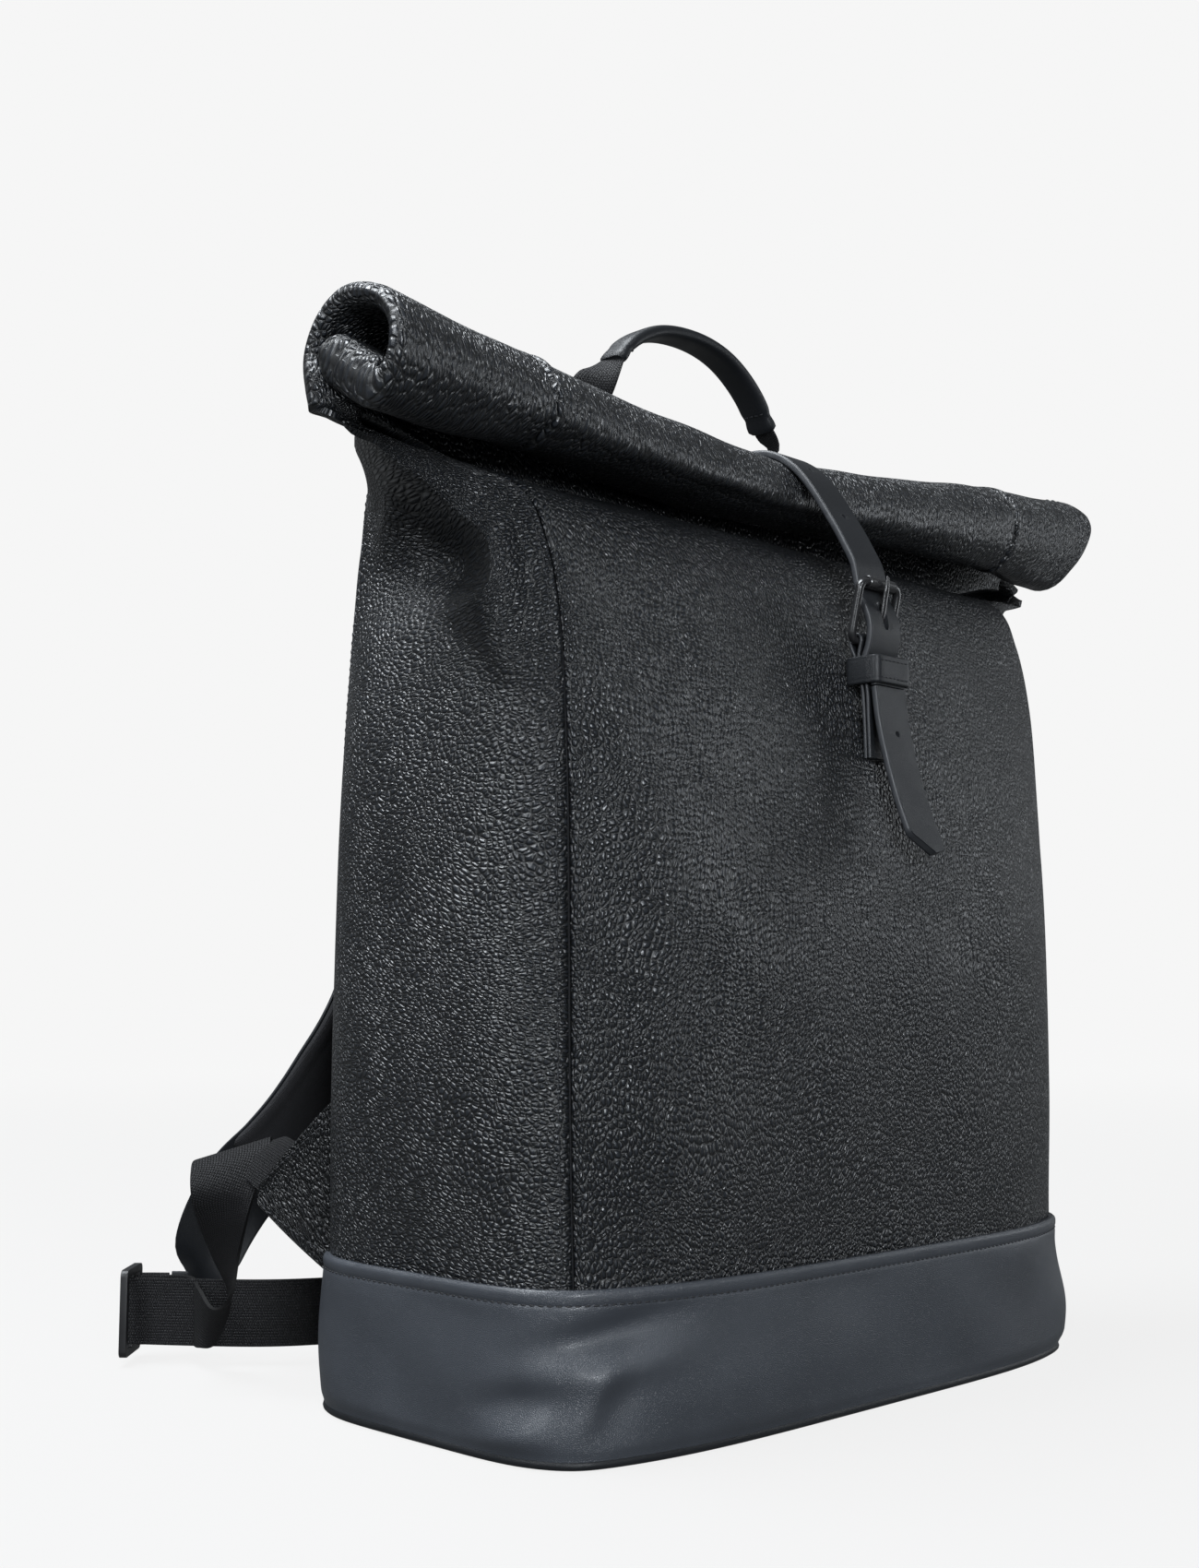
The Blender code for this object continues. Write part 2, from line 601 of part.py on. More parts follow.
# ---- shoulder straps ------------------------------------------------------------
LOCK = np.array([-.1660, .2050, .0228])  # middle of the left ladder lock
LOCK_OUT = unit(np.array([-.708, .706, 0]))  # the way its outer face looks
LOCK_ALONG = unit(np.array([.706, .708, 0]))  # from its free end to its strap end
BAR_PITCH = .0115
STRAP_ANCHOR = (-.064, .077, .348)  # outer corner of the strap where it is sewn on


def lock_point(along, out, up=0.0):
    return LOCK + LOCK_ALONG * along + LOCK_OUT * out + np.array([0, 0, up])


def mirrored(points, side):
    """Left-hand points as they are, right-hand points with X reversed."""
    points = np.array(points, float)
    points[..., 0] *= side
    return points


def strap_path():
    """Middle line of the left shoulder strap and its outer edge direction at each point."""
    end = lock_point(BAR_PITCH, -.0145)
    points = [(-.047, .0775, .3480), (-.052, .0880, .3330), (-.064, .0965, .2960),
              (-.081, .0995, .2450), (-.096, .1010, .1950), (-.106, .1070, .1600),
              (-.113, .1250, .1300), (-.121, .1520, .0980), (-.132, .1760, .0720),
              (-.139, .1870, .0470), tuple(end - LOCK_OUT * .012), tuple(end)]
    edges = [(-1, 0, 0), (-1, 0, -.15), (-1, .05, -.2), (-1, .05, -.25), (-1, .1, -.25),
             (-1, .2, -.2), (-1, .3, -.1), (-.9, .5, 0), (-.7, .6, .5), (-.3, .4, .9), (0, 0, 1), (0, 0, 1)]
    return np.array(points), np.array(edges, float)


def make_shoulder_strap(side, label, looks):
    """One shoulder strap with its lock and webbing. side is 1 on the left, -1 on the right."""
    leather, webbing = looks["smooth_leather"], looks["webbing"]
    points, edges = strap_path()
    count = 42
    line = spread(points, count)
    known = np.concatenate([[0], np.cumsum(np.linalg.norm(np.diff(points, axis=0), axis=1))])
    across = unit(smooth(known / known[-1], edges, np.linspace(0, 1, count)))
    widths = np.interp(np.linspace(0, 1, count), [0, .12, .6, 1], [.034, SHOULDER_W, .044, WEB_W])

    def layer(name, inner, outer, look, first, last):
        """One layer of the strap, between two distances behind its middle line."""
        tangents = unit(np.gradient(line, axis=0))
        flat = unit(across - tangents * np.sum(across * tangents, axis=1, keepdims=True))
        normals = np.cross(tangents, flat)
        keep = slice(first, last)
        corners = []
        for c, a, n, w in zip(line[keep], flat[keep], normals[keep], widths[keep]):
            half = w / 2
            corners += [c - a * half + n * inner, c + a * half + n * inner,
                        c + a * half + n * outer, c - a * half + n * outer]
        total = len(corners) // 4
        faces = [(0, 1, 2, 3), tuple(4 * (total - 1) + k for k in (3, 2, 1, 0))]
        for i in range(total - 1):
            for k in range(4):
                m = (k + 1) % 4
                faces.append((4 * i + k, 4 * i + m, 4 * i + 4 + m, 4 * i + 4 + k))
        hang(add_mesh(name, mirrored(corners, side), faces, look))

    def hang(piece):
        shift_origin(piece, mirrored(STRAP_ANCHOR, side))

    layer(f"{label}_shoulder_strap", .0005, .0023, leather, 0, count)
    layer(f"{label}_strap_padding", -.0042, -.0005, looks["foam"], 2, count - 9)

    # Ladder lock: a frame of three bars.
    half_w, bar = LOCK_W / 2, .0020
    outline = [(-BAR_PITCH - bar, -half_w), (BAR_PITCH + bar, -half_w),
               (BAR_PITCH + bar, half_w), (-BAR_PITCH - bar, half_w)]
    corners = [lock_point(a, out, up) for out in (-.0016, .0016) for a, up in outline]
    faces = [(3, 2, 1, 0), (4, 5, 6, 7)] + [(k, (k + 1) % 4, 4 + (k + 1) % 4, 4 + k)
                                            for k in range(4)]
    lock = add_mesh(f"{label}_ladder_lock", mirrored(corners, side), faces,
                    looks["black_plastic"])
    for number, middle in enumerate((-BAR_PITCH / 2, BAR_PITCH / 2)):
        reach, wide = BAR_PITCH / 2 - bar, WEB_W / 2 + .0008
        corners = [lock_point(middle + a, out, up) for out in (-.005, .005)
                   for a, up in ((-reach, -wide), (reach, -wide), (reach, wide), (-reach, wide))]
        cut(lock, add_mesh(f"{label}_lock_cutter_{number}", mirrored(corners, side), faces,
                           looks["black_plastic"]))
    hang(lock)

    # Loop of webbing that holds the lock on the end of the strap.
    clear = WEB / 2 + .0008

    def over_bar(middle, way, first, last):
        """Points of webbing that passes over a bar, between two distances behind it."""
        reach, top = bar + clear, .0016 + clear + .0002
        bend = [(reach, first), (reach, -.0010), (reach * .8, top * .72), (0, top),
                (-reach * .8, top * .72), (-reach, -.0010), (-reach, last)]
        return [lock_point(middle + way * a, out) for a, out in bend]

    loop = over_bar(BAR_PITCH, 1, -.0135, -.0135)
    hang(sweep(f"{label}_lock_loop", mirrored(spread(loop, 22), side), (0, 0, 1),
               flat_section(WEB_W - .002, WEB), webbing))

    # Adjusting webbing: from the side tab, folded down, through the lock, then its free tail.
    route = [(-.1640, .1132, .0800), (-.1640, .1260, .0850), (-.1640, .1420, .0870),
             (-.1635, .1520, .0760), (-.1620, .1510, .0580), (-.1600, .1490, .0420),
             (-.1600, .1530, .0300)]
    tail = [(-.1220, .1500, .0228), (-.0920, .1350, .0228), (-.0550, .1250, .0228),
            (-.0200, .1230, .0228)]
    bend = over_bar(0, 1, -.0080, -.0080)
    down = spread(route + [tuple(lock_point(.0034, -.0240)), tuple(bend[0])], 30)
    away = spread([tuple(bend[-1]), tuple(lock_point(-.0062, -.0260))] + tail, 16)
    web_line = np.concatenate([down[:-1], bend, away[1:]])
    facing = np.array([(0, -.1, 1), (0, -.3, 1), (.3, -.8, .6), (.7, -.7, .15), (.8, -.6, 0),
                       (.6, -.2, .5), (.3, .1, .9), (0, 0, 1), (0, 0, 1)], float)
    known = np.concatenate([[0], np.cumsum(np.linalg.norm(np.diff(np.array(
        route + [tuple(lock_point(.0034, -.0240)), tuple(bend[0])]), axis=0), axis=1))])
    facing = smooth(known / known[-1], facing, np.linspace(0, 1, len(down)))[:-1]
    upright = np.tile((0.0, 0.0, 1.0), (len(web_line) - len(facing), 1))
    facing = unit(np.concatenate([facing, upright]))
    facing[:, 0] *= side
    hang(sweep(f"{label}_adjusting_webbing", mirrored(web_line, side), facing,
               flat_section(WEB_W - .001, WEB), webbing))

    # Side tab: a triangle of leather sewn to the back edge of the bag, holding the webbing.
    tab = [(-.1592, .0712, .1220), (-.1650, .1070, .0960), (-.1650, .1070, .0660),
           (-.1588, .0730, .0640)]
    shift = np.array([.0014, 0, 0])
    corners = np.array(tab + [tuple(np.array(p) - 2 * shift) for p in tab])
    faces = [(3, 2, 1, 0), (4, 5, 6, 7)] + [(k, (k + 1) % 4, 4 + (k + 1) % 4, 4 + k)
                                            for k in range(4)]
    add_mesh(f"{label}_side_tab", mirrored(corners, side), faces, looks["pebbled_leather"])


def main():
    for old in list(bpy.data.objects):
        bpy.data.objects.remove(old)
    looks = make_materials()
    make_body(looks)
    make_collar(looks)
    make_closure(looks)
    make_handle(looks)
    make_shoulder_strap(1, "left", looks)
    make_shoulder_strap(-1, "right", looks)


main()
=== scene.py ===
"""Looks of the roll-top leather backpack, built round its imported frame.

Metres, +Z up, front towards -Y. Each piece rides on the body of the frame that moves it.
"""
import math

import bmesh
import bpy
import numpy as np
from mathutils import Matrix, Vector


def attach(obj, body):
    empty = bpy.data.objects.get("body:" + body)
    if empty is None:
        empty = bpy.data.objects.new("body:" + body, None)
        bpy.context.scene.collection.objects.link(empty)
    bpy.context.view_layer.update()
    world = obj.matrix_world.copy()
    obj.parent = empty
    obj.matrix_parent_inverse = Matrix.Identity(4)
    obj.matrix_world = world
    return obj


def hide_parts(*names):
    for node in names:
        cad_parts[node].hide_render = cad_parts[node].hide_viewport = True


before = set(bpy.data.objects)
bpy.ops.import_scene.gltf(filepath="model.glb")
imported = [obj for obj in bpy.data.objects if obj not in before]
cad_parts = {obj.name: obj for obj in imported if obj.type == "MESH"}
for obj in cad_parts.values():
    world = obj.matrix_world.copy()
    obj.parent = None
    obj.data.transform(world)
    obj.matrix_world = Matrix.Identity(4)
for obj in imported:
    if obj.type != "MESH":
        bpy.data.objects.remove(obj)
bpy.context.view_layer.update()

scene = bpy.context.scene

# ---- dimensions shared with the frame ------------------------------------------------
LEATHER = 0.0022  # body leather, like all of these in metres
STRAP_LEATHER = 0.0032  # closure strap, doubled and stitched
WEB = 0.0015  # webbing thickness
BAND_TOP = 0.061  # upper edge of the base band
BAND_THICK = 0.0017
BAND_GAP = 0.0008
PANEL_TUCK = 0.010  # how far the panels reach down behind the band
FRONT_SHARP = 4.6  # how square the front and the back are across
ROLL_SEAMS = (-.159, .155)  # cross seams of the roll
ROLL_POINTS = 100  # points along each face of the rolled leather
STITCH_SIDES = 6
STITCH_INSET = .0040  # from a gusset's seam to its topstitching
CREASE_ANGLE = math.radians(40)  # edges sharper than this aren't smoothed
ROLL_HALF = 0.2335  # half the length of the roll
STRAP_W = 0.020
WEB_W = 0.030
SHOULDER_W = 0.046  # widest part of a shoulder strap
LOCK_W = 0.038
NECK_Y = -.0135  # where the roll leaves the bag, front to back

ROW_KEYS = ("t", "z_front", "y_front", "z_seam", "y_seam", "x_seam",
            "z_side", "y_side", "x_side", "sharp", "z_back", "y_back_seam", "y_back")
ROWS = (
    (0.00, .0045, -.0850, .0045, -.0720, .154, .0045, .000, .1665, 5.6, .0045, .072, .085),
    (0.16, .0610, -.0890, .0610, -.0700, .155, .0610, .000, .1685, 5.2, .0610, .071, .087),
    (0.32, .1200, -.0960, .1200, -.0700, .157, .1200, .000, .172, 4.8, .1200, .069, .087),
    (0.48, .1900, -.1005, .1900, -.0690, .157, .1900, .000, .174, 4.6, .1900, .067, .086),
    (0.62, .2500, -.0920, .2500, -.0680, .157, .2500, .000, .173, 4.2, .2500, .065, .083),
    (0.74, .3000, -.0795, .3000, -.0655, .158, .3000, .001, .168, 3.2, .3050, .061, .079),
    (0.84, .3320, -.0680, .3320, -.0590, .159, .3340, .003, .162, 2.4, .3450, .056, .073),
    (0.93, .3520, -.0520, .3530, -.0480, .161, .3620, -.003, .190, 2.2, .3750, .040, .056),
    (1.00, .3640, -.0260, .3650, -.0240, .164, .3730, -.0135, .231, 3.0, .3890, .002, -.004),
)

# Middle line of the rolled mouth in (y, z): up from the neck, over, down, and back in.
ROLL = ((-.0135, .3660), (-.0112, .3800), (-.0108, .3920), (-.0165, .4030), (-.0285, .4095),
        (-.0420, .4085), (-.0540, .4015), (-.0598, .3915), (-.0585, .3815), (-.0500, .3755),
        (-.0400, .3790), (-.0270, .3870), (-.0175, .3930))
ROLL_RISE = ((-.234, .003), (-.159, -.0065), (-.084, -.0130), (.0, -.0135), (.08, -.006),
             (.155, .003), (.234, .010))


# ---- curves ----------------------------------------------------------------------------
def smooth(knots, values, at):
    """Smooth curve through values at the knots, read at the given places."""
    knots = np.asarray(knots, float)
    values = np.asarray(values, float)
    at = np.clip(np.asarray(at, float), knots[0], knots[-1])
    slopes = np.gradient(values, knots, axis=0)
    i = np.clip(np.searchsorted(knots, at, side="right") - 1, 0, len(knots) - 2)
    step = knots[i + 1] - knots[i]
    s = (at - knots[i]) / step
    shape = s.shape + (1,) * (values.ndim - 1)
    s, step = s.reshape(shape), step.reshape(shape)
    return (values[i] * (2 * s**3 - 3 * s**2 + 1) + slopes[i] * step * (s**3 - 2 * s**2 + s)
            + values[i + 1] * (3 * s**2 - 2 * s**3) + slopes[i + 1] * step * (s**3 - s**2))


def distances(points):
    steps = np.linalg.norm(np.diff(points, axis=0), axis=1)
    return np.concatenate([[0], np.cumsum(steps)])


def spread(points, count):
    """Evenly spaced points along the smooth curve through the given points."""
    points = np.asarray(points, float)
    along = distances(points)
    fine = smooth(along, points, np.linspace(0, along[-1], 40 * len(points)))
    length = distances(fine)
    wanted = np.linspace(0, length[-1], count)
    return np.stack([np.interp(wanted, length, fine[:, k]) for k in range(fine.shape[1])], axis=1)


def unit(vectors):
    return vectors / np.linalg.norm(vectors, axis=-1, keepdims=True)


def hump(value, middle, width):
    return np.exp(-((value - middle) / width) ** 2)


def ease(value, low, high):
    s = np.clip((value - low) / (high - low), 0, 1)
    return s * s * (3 - 2 * s)


def rounding(gap, reach, least=0.0):
    """Rises like a quarter circle from an edge, where the gap is 0, to 1 at the reach."""
    return np.sqrt(np.clip(1 - (1 - np.clip(gap / reach, 0, 1)) ** 2, least, 1))


def round_angles(count):
    return np.linspace(0, 2 * math.pi, count, endpoint=False)


# ---- meshes ----------------------------------------------------------------------------
def add_mesh(name, points, faces, looks, face_looks=None, grain=None, sharp=40):
    """A mesh object. grain gives each point its place on the leather or cloth, in metres."""
    mesh = bpy.data.meshes.new(name)
    mesh.from_pydata([tuple(p) for p in points], [], faces)
    for look in looks if isinstance(looks, (list, tuple)) else [looks]:
        mesh.materials.append(look)
    if face_looks is not None:
        mesh.polygons.foreach_set("material_index", np.asarray(face_looks, int))
    if grain is not None:
        flat = np.zeros((len(points), 3), np.float32)
        flat[:, :grain.shape[1]] = grain
        layer = mesh.attributes.new("grain", "FLOAT_VECTOR", "POINT")
        layer.data.foreach_set("vector", flat.ravel())
    work = bmesh.new()
    work.from_mesh(mesh)
    bmesh.ops.recalc_face_normals(work, faces=work.faces)
    work.to_mesh(mesh)
    work.free()
    mesh.shade_smooth()
    if sharp:
        mesh.set_sharp_from_angle(angle=math.radians(sharp))
    made = bpy.data.objects.new(name, mesh)
    scene.collection.objects.link(made)
    return made


def declare(made, body, slot, *nodes):
    """Puts a piece on the body that it rides on and hides the CAD nodes it stands for. slot, its
    finish, is not used.
    """
    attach(made, body)
    if nodes:
        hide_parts(*nodes)
    return made


def grid_faces(rows, columns, wrap=False, start=0):
    faces = []
    for i in range(rows - 1):
        for j in range(columns if wrap else columns - 1):
            k = (j + 1) % columns
            a, b = start + i * columns, start + (i + 1) * columns
            faces.append((a + j, a + k, b + k, b + j))
    return faces


def sheet_solid(name, outer, inner, looks, grain, wrap=False):
    """A closed sheet between two grids of points. wrap joins its first and last column."""
    rows, columns, _ = outer.shape
    half = rows * columns
    faces = grid_faces(rows, columns, wrap)
    faces += [tuple(half + k for k in reversed(face)) for face in faces]
    if wrap:
        rims = [[i * columns + j for j in range(columns)] for i in (0, rows - 1)]
    else:
        rims = [[j for j in range(columns - 1)]
                + [i * columns + columns - 1 for i in range(rows - 1)]
                + [(rows - 1) * columns + j for j in range(columns - 1, 0, -1)]
                + [i * columns for i in range(rows - 1, 0, -1)]]
    for rim in rims:
        for a, b in zip(rim, rim[1:] + rim[:1]):
            faces.append((a, half + a, half + b, b))
    points = np.concatenate([outer.reshape(-1, 3), inner.reshape(-1, 3)])
    grain = np.concatenate([grain.reshape(-1, 2)] * 2)
    return add_mesh(name, points, faces, looks, grain=grain)


def frames(centres, across, closed=False):
    """Tangents, across vectors and normals along a line."""
    if closed:
        tangents = unit(np.roll(centres, -1, axis=0) - np.roll(centres, 1, axis=0))
    else:
        tangents = unit(np.gradient(centres, axis=0))
    across = np.broadcast_to(np.asarray(across, float), centres.shape)
    across = unit(across - tangents * np.sum(across * tangents, axis=1, keepdims=True))
    return tangents, across, np.cross(tangents, across)


def sweep(name, centres, across, sections, looks, closed=False, seg_looks=None, sharp=40):
    """A solid whose section, given as (across, normal) offsets, is carried along a line.
    sections is one section for the whole line or one for each of its points."""
    centres = np.asarray(centres, float)
    sections = np.asarray(sections, float)
    if sections.ndim == 2:
        sections = np.broadcast_to(sections, (len(centres),) + sections.shape)
    _, across, normals = frames(centres, across, closed)
    points = (centres[:, None] + sections[:, :, :1] * across[:, None]
              + sections[:, :, 1:] * normals[:, None])
    count, size = points.shape[:2]
    along = np.broadcast_to(distances(centres)[:, None], (count, size))
    grain = np.stack([sections[:, :, 0], along + 0.37 * sections[:, :, 1]], axis=-1)
    faces, face_looks = [], []
    seg_looks = seg_looks or [0] * size
    for i in range(count if closed else count - 1):
        j = (i + 1) % count
        for k in range(size):
            m = (k + 1) % size
            faces.append((i * size + k, i * size + m, j * size + m, j * size + k))
            face_looks.append(seg_looks[k])
    if not closed:
        faces.append(tuple(range(size)))
        faces.append(tuple(reversed(range((count - 1) * size, count * size))))
        face_looks += [max(seg_looks)] * 2
    return add_mesh(name, points.reshape(-1, 3), faces, looks, face_looks,
                    grain.reshape(-1, 2), sharp)


def ribbon(name, edges, thick, look, columns=12):
    """A flat woven strip between two edges, given together as rows of six numbers."""
    at = np.linspace(0, 1, columns)[None, :, None]
    middle = edges[:, None, :3] * (1 - at) + edges[:, None, 3:] * at
    along = np.gradient(middle, axis=0)
    across = np.broadcast_to((edges[:, 3:] - edges[:, :3])[:, None], middle.shape)
    out = unit(np.cross(along, across)) * thick / 2
    width = np.linalg.norm(edges[:, 3:] - edges[:, :3], axis=1)
    run = distances((edges[:, :3] + edges[:, 3:]) / 2)
    run = np.broadcast_to(run[:, None], middle.shape[:2])
    grain = np.stack([width[:, None] * at[..., 0], run], axis=-1)
    return sheet_solid(name, middle + out, middle - out, look, grain)


def circle(radius, sides=16):
    angles = round_angles(sides)
    return np.stack([radius * np.cos(angles), radius * np.sin(angles)], axis=1)


def oval(width, thick, sides=28, flat=0.5):
    """A flat section with well rounded edges."""
    angles = round_angles(sides) + math.pi / sides
    c, s = np.cos(angles), np.sin(angles)
    return np.stack([width / 2 * np.sign(c) * np.abs(c) ** flat,
                     thick / 2 * np.sign(s) * np.abs(s) ** 0.8], axis=1)


def strip_section(width, thick, dome=0.0, crease=0.0):
    """The section of a cut strip: soft corners, a pressed line along both edges of its face,
    and a slightly domed middle. Returns the section and which of its sides are cut edge."""
    edge = np.array([0, .00012, .0005, .0011, .0015, .0019, .0027])
    face = np.array([.30, .72, 1, 1, 1, 1, 1])
    press = np.array([0, 0, 0, .4, 1, .4, 0])
    half = np.concatenate([width / 2 - edge, [width / 4]])
    tall = np.concatenate([thick / 2 * face - crease * press, [thick / 2]])
    tall += dome * (1 - (2 * half / width) ** 2)
    across = np.concatenate([-half, [0], half[::-1]])
    height = np.concatenate([tall, [thick / 2 + dome], tall[::-1]])
    back = -thick / 2 * np.concatenate([face, [1, 1, 1], face[::-1]])
    ring = np.concatenate([np.stack([across, height], 1), np.stack([across, back], 1)[::-1]])
    size, n = len(ring), len(across)
    looks = [0] * size
    for k in (0, n - 2, n - 1, n, size - 2, size - 1):
        looks[k] = 1
    return ring, looks


def apply_modifier(piece, kind, **settings):
    modifier = piece.modifiers.new(kind.lower(), kind)
    for key, value in settings.items():
        setattr(modifier, key, value)
    bpy.context.view_layer.update()
    graph = bpy.context.evaluated_depsgraph_get()
    result = bpy.data.meshes.new_from_object(piece.evaluated_get(graph))
    piece.modifiers.clear()
    piece.data = result
    result.shade_smooth()
    result.set_sharp_from_angle(angle=CREASE_ANGLE)


def cut_out(piece, cutter):
    """Cuts one object out of another for good."""
    apply_modifier(piece, "BOOLEAN", object=cutter, operation="DIFFERENCE", solver="EXACT")
    bpy.data.objects.remove(cutter)


def soften(piece, width):
    """Rounds the hard edges of a piece for good."""
    apply_modifier(piece, "BEVEL", width=width, segments=3, limit_method="ANGLE",
                   angle_limit=math.radians(35))


def rod(name, start, end, radius, look):
    ends = np.array([start, end], float)
    along = unit(ends[1] - ends[0])
    across = (1, 0, 0) if abs(along[0]) < 0.9 else (0, 1, 0)
    return sweep(name, ends, across, circle(radius, 20), look)


def stitch_row(name, line, outward, body, slot, pitch=.0034, length=.0025, radius=.00036):
    """Thread along a line: each stitch is a small strand that dives in at both ends."""
    line = np.asarray(line, float)
    outward = np.broadcast_to(np.asarray(outward, float), line.shape)
    along = distances(line)
    middles = np.arange(pitch / 2, along[-1] - length / 2, pitch)
    steps = np.array([-.5, -.42, -.22, 0, .22, .42, .5])
    swell = np.array([.35, .8, 1, 1.04, 1, .8, .35])
    sink = np.array([.75, .35, -.2, -.42, -.2, .35, .75])
    angles = round_angles(STITCH_SIDES)
    points, faces, grain = [], [], []
    for middle in middles:
        at = middle + steps * length
        centre = np.stack([np.interp(at, along, line[:, k]) for k in range(3)], axis=1)
        up = unit(np.stack([np.interp(at, along, outward[:, k]) for k in range(3)], axis=1))
        tangent = unit(centre[-1] - centre[0])
        side = unit(np.cross(tangent, up))
        base = len(points)
        for i in range(len(steps)):
            ring_centre = centre[i] - up[i] * radius * sink[i]
            for angle in angles:
                points.append(ring_centre + radius * swell[i]
                              * (math.cos(angle) * side[i] + math.sin(angle) * up[i]))
                grain.append((angle * radius, at[i]))
        faces += grid_faces(len(steps), STITCH_SIDES, True, base)
        last = base + STITCH_SIDES * (len(steps) - 1)
        faces.append(tuple(range(base + STITCH_SIDES - 1, base - 1, -1)))
        faces.append(tuple(range(last, last + STITCH_SIDES)))
    made = add_mesh(name, points, faces, LOOKS["thread"], grain=np.array(grain), sharp=0)
    return declare(made, body, slot)


# ---- materials -------------------------------------------------------------------------
class Look:
    """Builds one node material."""

    def __init__(self, name):
        self.material = bpy.data.materials.new(name)
        self.material.use_nodes = True
        self.tree = self.material.node_tree
        self.shader = self.tree.nodes["Principled BSDF"]

    def node(self, kind, inputs=(), **settings):
        made = self.tree.nodes.new(kind)
        for key, value in settings.items():
            setattr(made, key, value)
        for key, value in dict(inputs).items():
            self.feed(made.inputs[key], value)
        return made

    def feed(self, socket, value):
        if isinstance(value, bpy.types.NodeSocket):
            self.tree.links.new(value, socket)
        else:
            socket.default_value = value

    def math(self, operation, a, b=0.0, c=0.0):
        return self.node("ShaderNodeMath", {0: a, 1: b, 2: c}, operation=operation).outputs[0]

    def product(self, first, *others):
        for other in others:
            first = self.math("MULTIPLY", first, other)
        return first

    def ripple(self, value):
        return self.math("ABSOLUTE", self.math("SINE", value))

    def ramp(self, value, low, high, to_low=0.0, to_high=1.0):
        made = self.node("ShaderNodeMapRange", {"Value": value, "From Min": low, "From Max": high,
                                                "To Min": to_low, "To Max": to_high},
                         interpolation_type="SMOOTHSTEP")
        return made.outputs["Result"]

    def place(self):
        """Where a point lies on the material itself, in metres."""
        return self.node("ShaderNodeAttribute", attribute_name="grain").outputs["Vector"]

    def across_along(self):
        """The two parts of that place: across the material and along it."""
        return self.node("ShaderNodeSeparateXYZ", {0: self.place()}).outputs[:2]

    def stretch(self, vector, x, y):
        return self.node("ShaderNodeVectorMath", {0: vector, 1: (x, y, 1.0)},
                         operation="MULTIPLY").outputs[0]

    def noise(self, vector, scale, detail=2.0, output="Fac"):
        return self.node("ShaderNodeTexNoise", {"Vector": vector, "Scale": scale,
                                                "Detail": detail, "Roughness": 0.5}
                         ).outputs[output]

    def warp(self, vector, scale, amount):
        """The same place pushed about by noise, so that no pattern runs straight."""
        colour = self.noise(vector, scale, 2.0, output="Color")
        centred = self.node("ShaderNodeVectorMath", {0: colour, 1: (.5, .5, .5)},
                            operation="SUBTRACT").outputs[0]
        scaled = self.node("ShaderNodeVectorMath", {0: centred, "Scale": amount},
                           operation="SCALE").outputs[0]
        return self.node("ShaderNodeVectorMath", {0: vector, 1: scaled},
                         operation="ADD").outputs[0]

    def cells(self, vector, feature="DISTANCE_TO_EDGE"):
        """Distance to the nearest cell wall, or to the nearest cell centre with feature F1."""
        return self.node("ShaderNodeTexVoronoi", {"Vector": vector, "Scale": 1.0},
                         voronoi_dimensions="2D", feature=feature).outputs["Distance"]

    def mix(self, factor, a, b):
        made = self.node("ShaderNodeMix", data_type="RGBA")
        self.feed(made.inputs["Factor"], factor)
        colours = [s for s in made.inputs if s.type == "RGBA"]
        for socket, value in zip(colours, (a, b)):
            self.feed(socket, value if isinstance(value, bpy.types.NodeSocket) else (*value, 1.0))
        return [s for s in made.outputs if s.type == "RGBA"][0]

    def bump(self, height, distance):
        return self.node("ShaderNodeBump", {"Height": height, "Distance": distance,
                                            "Strength": 1.0}).outputs["Normal"]

    def finish(self, colour, roughness, normal=None, specular=0.5):
        self.feed(self.shader.inputs["Base Color"],
                  colour if isinstance(colour, bpy.types.NodeSocket) else (*colour, 1.0))
        self.feed(self.shader.inputs["Roughness"], roughness)
        self.shader.inputs["Specular IOR Level"].default_value = specular
        if normal is not None:
            self.feed(self.shader.inputs["Normal"], normal)
        return self.material


def times(colour, factor):
    return tuple(c * factor for c in colour)


def pebbled_look(name, wide=.0017, tall=.0025, depth=.0008, light=(.0115, .0134, .0168),
                 specular=.50, flow=.030):
    """Full-grain leather: rounded pebbles with creases between them, longer one way,
    turned by the slow flow of the hide, flatter in some places than in others. The colour is
    painted lighter on the pebble tops and darker in the creases and folds: painted highlight
    and painted shade."""
    look = Look(name)
    place = look.warp(look.place(), 11.0, flow)
    place = look.warp(place, 90.0, .0030)
    place = look.warp(place, 450.0, .0006)
    scaled = look.stretch(place, 1 / wide, 1 / tall)
    edge = look.cells(scaled)
    centre = look.cells(scaled, "F1")
    pebble = look.ramp(edge, 0.0, .30)
    dome = look.ramp(centre, .75, .05)
    folds = look.cells(look.stretch(place, 1 / (wide * 3.6), 1 / (tall * 3.2)))
    fold = look.ramp(folds, 0.0, .12, .35, 1.0)
    patches = look.noise(look.place(), 19.0, 3.0)
    amount = look.ramp(patches, .30, .62, .72, 1.0)
    height = look.math("ADD", look.product(pebble, .6), look.product(dome, .4))
    height = look.product(height, fold, amount)
    micro = look.noise(look.place(), 3800.0, 2.0)
    normal = look.bump(look.math("MULTIPLY_ADD", micro, .06, height), depth)
    # Painted highlight and shade: lighter on the pebble tops, darker in the creases between
    # pebbles and along the wider folds; the patches give tone that differs at random.
    tone = look.product(pebble, fold, look.ramp(patches, .2, .8, .80, 1.10),
                        look.ramp(centre, .8, .1, .45, 1.1))
    rough = look.math("MULTIPLY_ADD", pebble, -.22, .46)
    rough = look.math("MULTIPLY_ADD", look.noise(look.place(), 60.0, 3.0), .08, rough)
    return look.finish(look.mix(tone, (.0010, .0012, .0015), light), rough, normal, specular)


